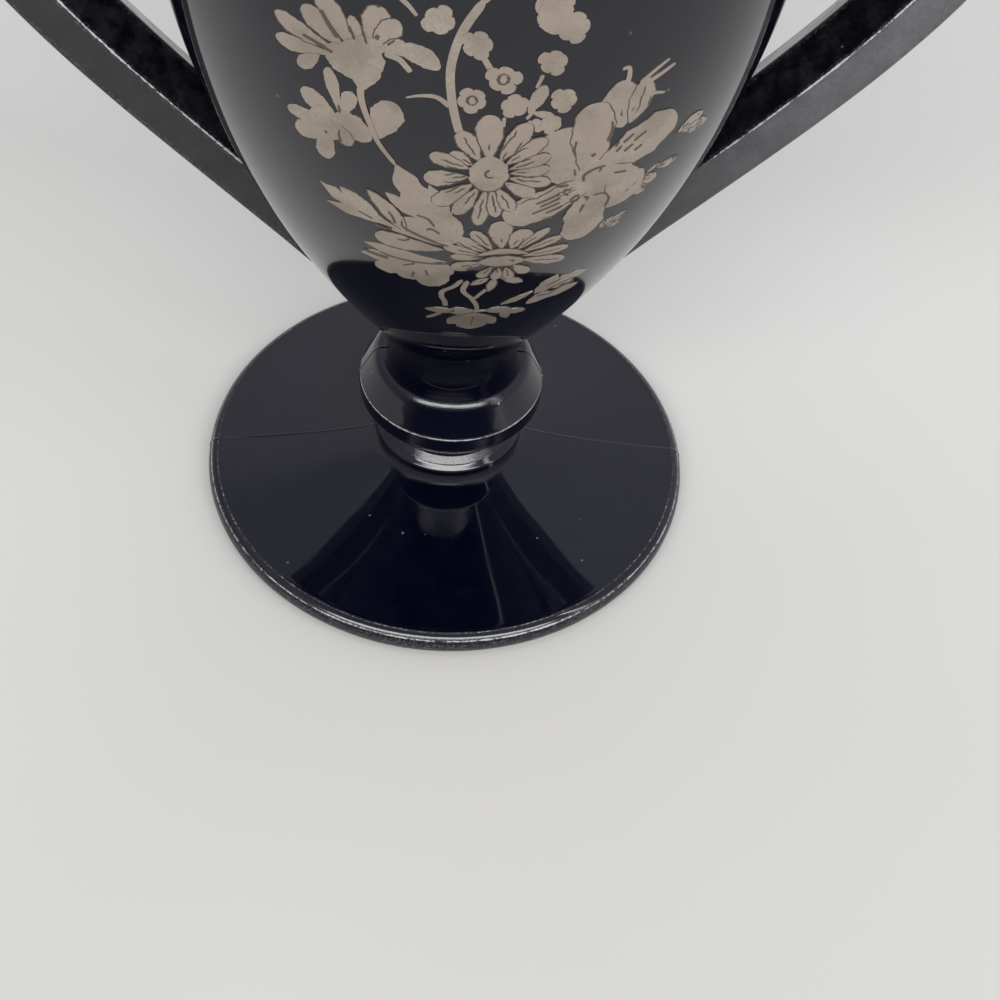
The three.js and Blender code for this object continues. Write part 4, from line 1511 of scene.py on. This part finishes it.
            (0.3, -3, 4.2, -4, 6, -5.6, 6.6), (0.3, -2.2, 2.4, -3.4, 3.4, -4.2, 3),
            (0.4, -6.6, 0.2, -7.6, -0.9, -8.8, -1), (0.3, -12.6, 3.2, -14.8, 4.2),
        ),
    ),
    motif(
        "silver_leaf_low", -5.6, 98.6,
        *blades(
            PLAIN, (0.6, -0.9, -12.9, 0.6, 2.7, 0.62, 0.7, 0.2, 3, 0.15),
            (0.4, -2, -13.9, -3.4, 4.4, 0.62, 0.8, -0.7, 4, 0.25),
            (-1.6, -2.6, -11.6, -6.8, 4.6, 0.66, 0.44, 0, 4, 0.14),
            (-1.4, -2.4, -7.6, -8, 4.6, 0.66, 0.4, 0, 3, 0.12),
            (0.2, -1.2, -3.6, -9.8, 5.6, 0.62, 0.44, 0.4, 2, 0.12), (0.6, -1.6, 0, -5.6, 3, 0.56, 0.5),
        ),
        *grooves(
            (0.36, 0.6, -1.4, -3.4, -2, -7.6, -1.9, -10.4, -1.2), (0.8, -9, -2.6, -11.4, -2.4, -13.2, -2),
            (0.5, -4.9, -5.6, -5.3, -7.4), (0.4, -2.9, -4.4, -2.6, -6), (0.26, -4.6, -2.6, -6.6, -4),
        ),
    ),
    motif(
        "silver_leaf_right", 17.5, 87.7,
        *blades(
            PLAIN, (0.2, -2.2, 9.4, 2.2, 4.6, 0.5, 0.8, 0.6, 4, 0.3),
            (0.4, -2.4, 3.2, 3.8, 3.6, 0.5, 0.9, -0.2, 2, 0.2),
        ),
        *blades(OUTLINED, (0, -6, 9, -3, 3.4, 0.66, 0.6, 0.2)),
        *blades(PLAIN, (-0.2, -6.6, 3.6, -3, 3.4, 0.6, 0.5)),
        *grooves(
            (0.45, 1, -3.4, 3.4, -3.6, 5.2, -2, 7.4, -0.8), (0.3, 2.6, -1.6, 4.6, -0.2, 7, 0.8),
            (0.3, 2, 0.2, 4.2, 1.6),
        ),
    ),
    # The twigs and leaves that hang below the lower daisy
    motif(
        "silver_twigs", 4.4, 75.4,
        *vines(
            (0.8, 0.9, -3.6, 18.6, -4.7, 16, -6.3, 13.8, -6.4, 11.6, -5.9, 9.8, -5.7, 7.6),
            (0.9, 0.7, -2.8, 18.2, -3.2, 14.4, -1.7, 11.3, -0.7, 8, -0.5, 5.2),
            (0.7, 0.6, 0.2, 15, -0.6, 13.2, -1.3, 11.4),
        ),
        *blades(PLAIN, (-0.6, 5.9, -5.4, 5.4, 3.3, 0.6, 0.8), (-3.8, 5.6, -9, 5.2, 2.4, 0.5, 0.8)),
        *vines((0.8, 0.6, -6.4, 4.3, -7.4, 2.6, -8.7, 1), (0.6, 0.6, -0.6, 5.7, 1.4, 5.9)),
        *blades(
            PLAIN, (0.9, 6.1, 5.4, 5.7, 2.7, 0.5, 0.7), (3.4, 5, 7.9, 4.2, 2.3, 0.62, 0.6),
            (3.9, 5.2, 5, 1.4, 1.8, 0.5, 0.8), (-0.8, 5.9, -1.1, -3.4, 5.2, 0.72, 0.7),
            (-0.9, 5.2, -5, -1, 3, 0.64, 0.8), (-0.9, 5.2, 3.1, -0.8, 3, 0.64, 0.8),
            (3.1, 8.5, 7.9, 12.5, 1.5, 0.45, 0.8, -0.2),
        ),
        *grooves((0.4, -4.2, 6.3, -4.6, 5.2), (0.26, -0.9, 3.4, -1, -1.4)),
    ),
    # The spray's upper end: one more lily, leaves and small flowers beside the stem
    motif(
        "silver_lily_top", 3.6, 169.8,
        *blades(
            COMBED, (0.4, 0.4, -5.6, 5.4, 4.2, 0.66, 0.5), (0.6, 0.8, -1.2, 8.6, 4.2, 0.68, 0.5),
            (1, 0.8, 3.8, 7.8, 3.8, 0.68, 0.5), (1.2, 0.4, 7.2, 4.2, 3.6, 0.66, 0.5),
            (0.2, -4.6, 0.9, 2.6, 6.2, 0.62, 0.5),
        ),
        *vines((0.9, 0.8, 0.2, -4.4, -0.6, -8, -2.6, -11)),
        *blades(COMBED, (-2.4, -10.4, -8.6, -6.8, 2.6, 0.6, 0.8, 0.4)),
        *posy((-10, 1), 2.7, 30), *posy((-8.4, -3.4), 2.3, 90), *posy((8.2, -3.2), 2.6, 10),
        *posy((10.4, 1.8), 2.2, 55),
        *vines((0.7, 0.5, -2.4, -10.6, 2.6, -7.6, 6.6, -4.4)),
    ),
]

# The leaves at the right edge, where the silver is rubbed thin
RUBBED = [
    motif(
        "silver_leaf_rubbed_right", 35.4, 122.8,
        *blades(
            COMBED, (0.8, -0.9, 6.4, 1.2, 3.4, 0.6, 0.8, -0.3), (2, -1.2, 8.8, -1.9, 3, 0.6, 0.9),
            (-1, -7.6, 4.8, -7.6, 2.4, 0.6, 0.9, -0.3), (-3.4, -9.4, 1.2, -10.6, 3, 0.6, 0.8),
            (-4.2, -10.2, -0.4, -13.2, 2.8, 0.6, 0.8),
        ),
        *vines((0.7, 0.4, -5.2, -11.6, -2.6, -9, 0.6, -6.6)),
        relief=0.05,
    ),
    motif(
        "silver_leaf_rubbed_low", 29, 106.4,
        *blades(
            COMBED, (-1.6, -3.4, 0.4, -0.6, 2.4, 0.5, 0.8), (-0.6, -3.2, 3, -0.3, 2.2, 0.6, 0.8),
            (-0.6, -3.4, 2.6, -3.2, 1.8, 0.6, 0.8),
        ),
        relief=0.05,
    ),
]


@dataclass
class SilverSpray:
    """The spray of flowers that covers the cup's front, rubbed pale at its right edge."""

    cup: Cup
    finish: EngravedSilver = EngravedSilver("engraved_silver")
    rubbed_finish: EngravedSilver = EngravedSilver(
        "rubbed_silver", bright=(0.44, 0.40, 0.38, 1.0), aged=(0.32, 0.29, 0.28, 1.0), faded=0.35
    )

    def build(self) -> list[Piece]:
        """Builds every motif.

        Returns:
            The silver pieces.
        """
        silver = self.finish.material()
        rubbed = self.rubbed_finish.material()
        pieces = [part.build(self.cup, silver) for part in SPRAY]
        return pieces + [part.build(self.cup, rubbed) for part in RUBBED]


# Stage


@dataclass
class Studio:
    """The table, the soft light and the camera."""

    camera_place: tuple[float, float, float] = (-9.37, -214.54, 252.70)
    forward: tuple[float, float, float] = (0.06571, 0.62518, -0.77771)
    camera_up: tuple[float, float, float] = (-0.02231, 0.78012, 0.62523)
    lens: float = 52.19
    sensor: float = 36.0
    table_radius: float = 5000.0
    lamp_distance: float = 8000.0
    horizon: Colour = (0.40, 0.41, 0.44, 1.0)
    bands: tuple[tuple[int, float, float, Colour], ...] = (
        (2, 0.35, 0.60, (0.60, 0.61, 0.66, 1.0)),
        (2, 0.73, 0.80, (0.46, 0.47, 0.52, 1.0)),
        (0, -0.10, 0.35, (0.62, 0.63, 0.69, 1.0)),
        (2, 0.86, 0.99, (1.00, 1.00, 1.02, 1.0)),
    )
    dim: Colour = (0.05, 0.05, 0.06, 1.0)
    backdrop: Colour = (0.80, 0.80, 0.79, 1.0)

    def table(self) -> None:
        """A round table top, far wider than the view."""
        turn = np.linspace(0, 2 * np.pi, 96, endpoint=False)
        ring = np.stack([np.cos(turn), np.sin(turn), 0 * turn], axis=1) * self.table_radius
        vertices = np.concatenate([ring, np.zeros((1, 3))])
        table = make_object("table_top", vertices, np.zeros((0, 4), int), fan(96, np.arange(96)))
        table.data.materials.append(PaleTable().material())

    def lamp(self, name: str, turn_degrees: float, rise_degrees: float, size: Point, radiance: float) -> None:
        """A rectangular lamp that faces the stem.

        Args:
            name: Name of the lamp.
            turn_degrees: Its direction from the front, towards the right.
            rise_degrees: Its direction over the table.
            size: Width and height, in millimetres.
            radiance: Brightness of its surface, where a white table in even light is 1.
        """
        light = bpy.data.lights.new(name, "AREA")
        light.shape = "RECTANGLE"
        light.size = size[0] * MM
        light.size_y = size[1] * MM
        light.energy = radiance * math.pi * light.size * light.size_y
        lamp = bpy.data.objects.new(name, light)
        turn = math.radians(turn_degrees)
        rise = math.radians(rise_degrees)
        level = math.cos(rise)
        way = Vector((math.sin(turn) * level, -math.cos(turn) * level, math.sin(rise)))
        target = Vector((0.0, 0.0, 60.0)) * MM
        lamp.location = target + way * self.lamp_distance * MM
        lamp.rotation_euler = (target - lamp.location).to_track_quat("-Z", "Y").to_euler()
        bpy.context.scene.collection.objects.link(lamp)

    def world(self) -> None:
        """A pale room, brightest overhead and dim low down in front, where nothing is lit.

        Each band of tone takes over from the last one by a smooth step of one coordinate of the direction.
        The share of dimness is a smooth step of how far a direction leans to the front, and of how low it is.
        The camera itself sees a plain pale backdrop.
        """
        shader = Shader(bpy.data.worlds.new("pale_room"))
        direction = shader.add("ShaderNodeTexCoord").outputs["Generated"]
        split = shader.add("ShaderNodeSeparateXYZ", {0: direction})
        seen = self.horizon
        for axis, low, high, colour in self.bands:
            seen = shader.mix(shader.step(split.outputs[axis], low, high), seen, colour)
        in_front = shader.step(split.outputs[1], -0.35, -0.8)
        seen = shader.mix(shader.times(in_front, shader.step(split.outputs[2], 0.55, 0.25)), seen, self.dim)
        seen = shader.mix(shader.add("ShaderNodeLightPath").outputs["Is Camera Ray"], seen, self.backdrop)
        background = shader.add("ShaderNodeBackground", {"Color": seen, "Strength": 1.0})
        shader.add("ShaderNodeOutputWorld", {"Surface": background.outputs[0]})
        bpy.context.scene.world = shader.owner

    def camera(self) -> None:
        """The camera at the photograph's place, its axes given by its forward and up directions."""
        data = bpy.data.cameras.new("camera")
        data.lens = self.lens
        data.sensor_width = self.sensor
        data.clip_start = 0.01
        data.clip_end = 100.0
        camera = bpy.data.objects.new("camera", data)
        forward = Vector(self.forward).normalized()
        up = Vector(self.camera_up).normalized()
        turn = Matrix((forward.cross(up), up, -forward)).transposed().to_4x4()
        camera.matrix_world = Matrix.Translation(Vector(self.camera_place) * MM) @ turn
        bpy.context.scene.collection.objects.link(camera)
        bpy.context.scene.camera = camera

    def build(self) -> None:
        """Sets up the whole stage, with a wide window and a narrow gap of light on the right."""
        self.table()
        self.world()
        self.lamp("window", -2.0, 44.0, (12400.0, 1600.0), radiance=11.0)
        self.lamp("window_gap", 61.0, 27.0, (340.0, 7400.0), radiance=10.0)
        self.camera()
        bpy.context.scene.view_settings.view_transform = "Standard"


def main() -> None:
    """Builds the vase piece by piece and reports each one."""
    logging.basicConfig(level=logging.INFO, format="%(message)s")
    cup = Cup()
    stem = Stem()
    pieces = [Foot().build(), stem.knop(), stem.neck(), cup.build()]
    pieces.extend(Handle(cup, side).build() for side in Side)
    pieces.extend(SilverSpray(cup).build())
    for piece in pieces:
        LOG.info("%s: %d faces", piece.name, len(piece.data.polygons))
    Studio().build()


if __name__ == "__main__":
    main()
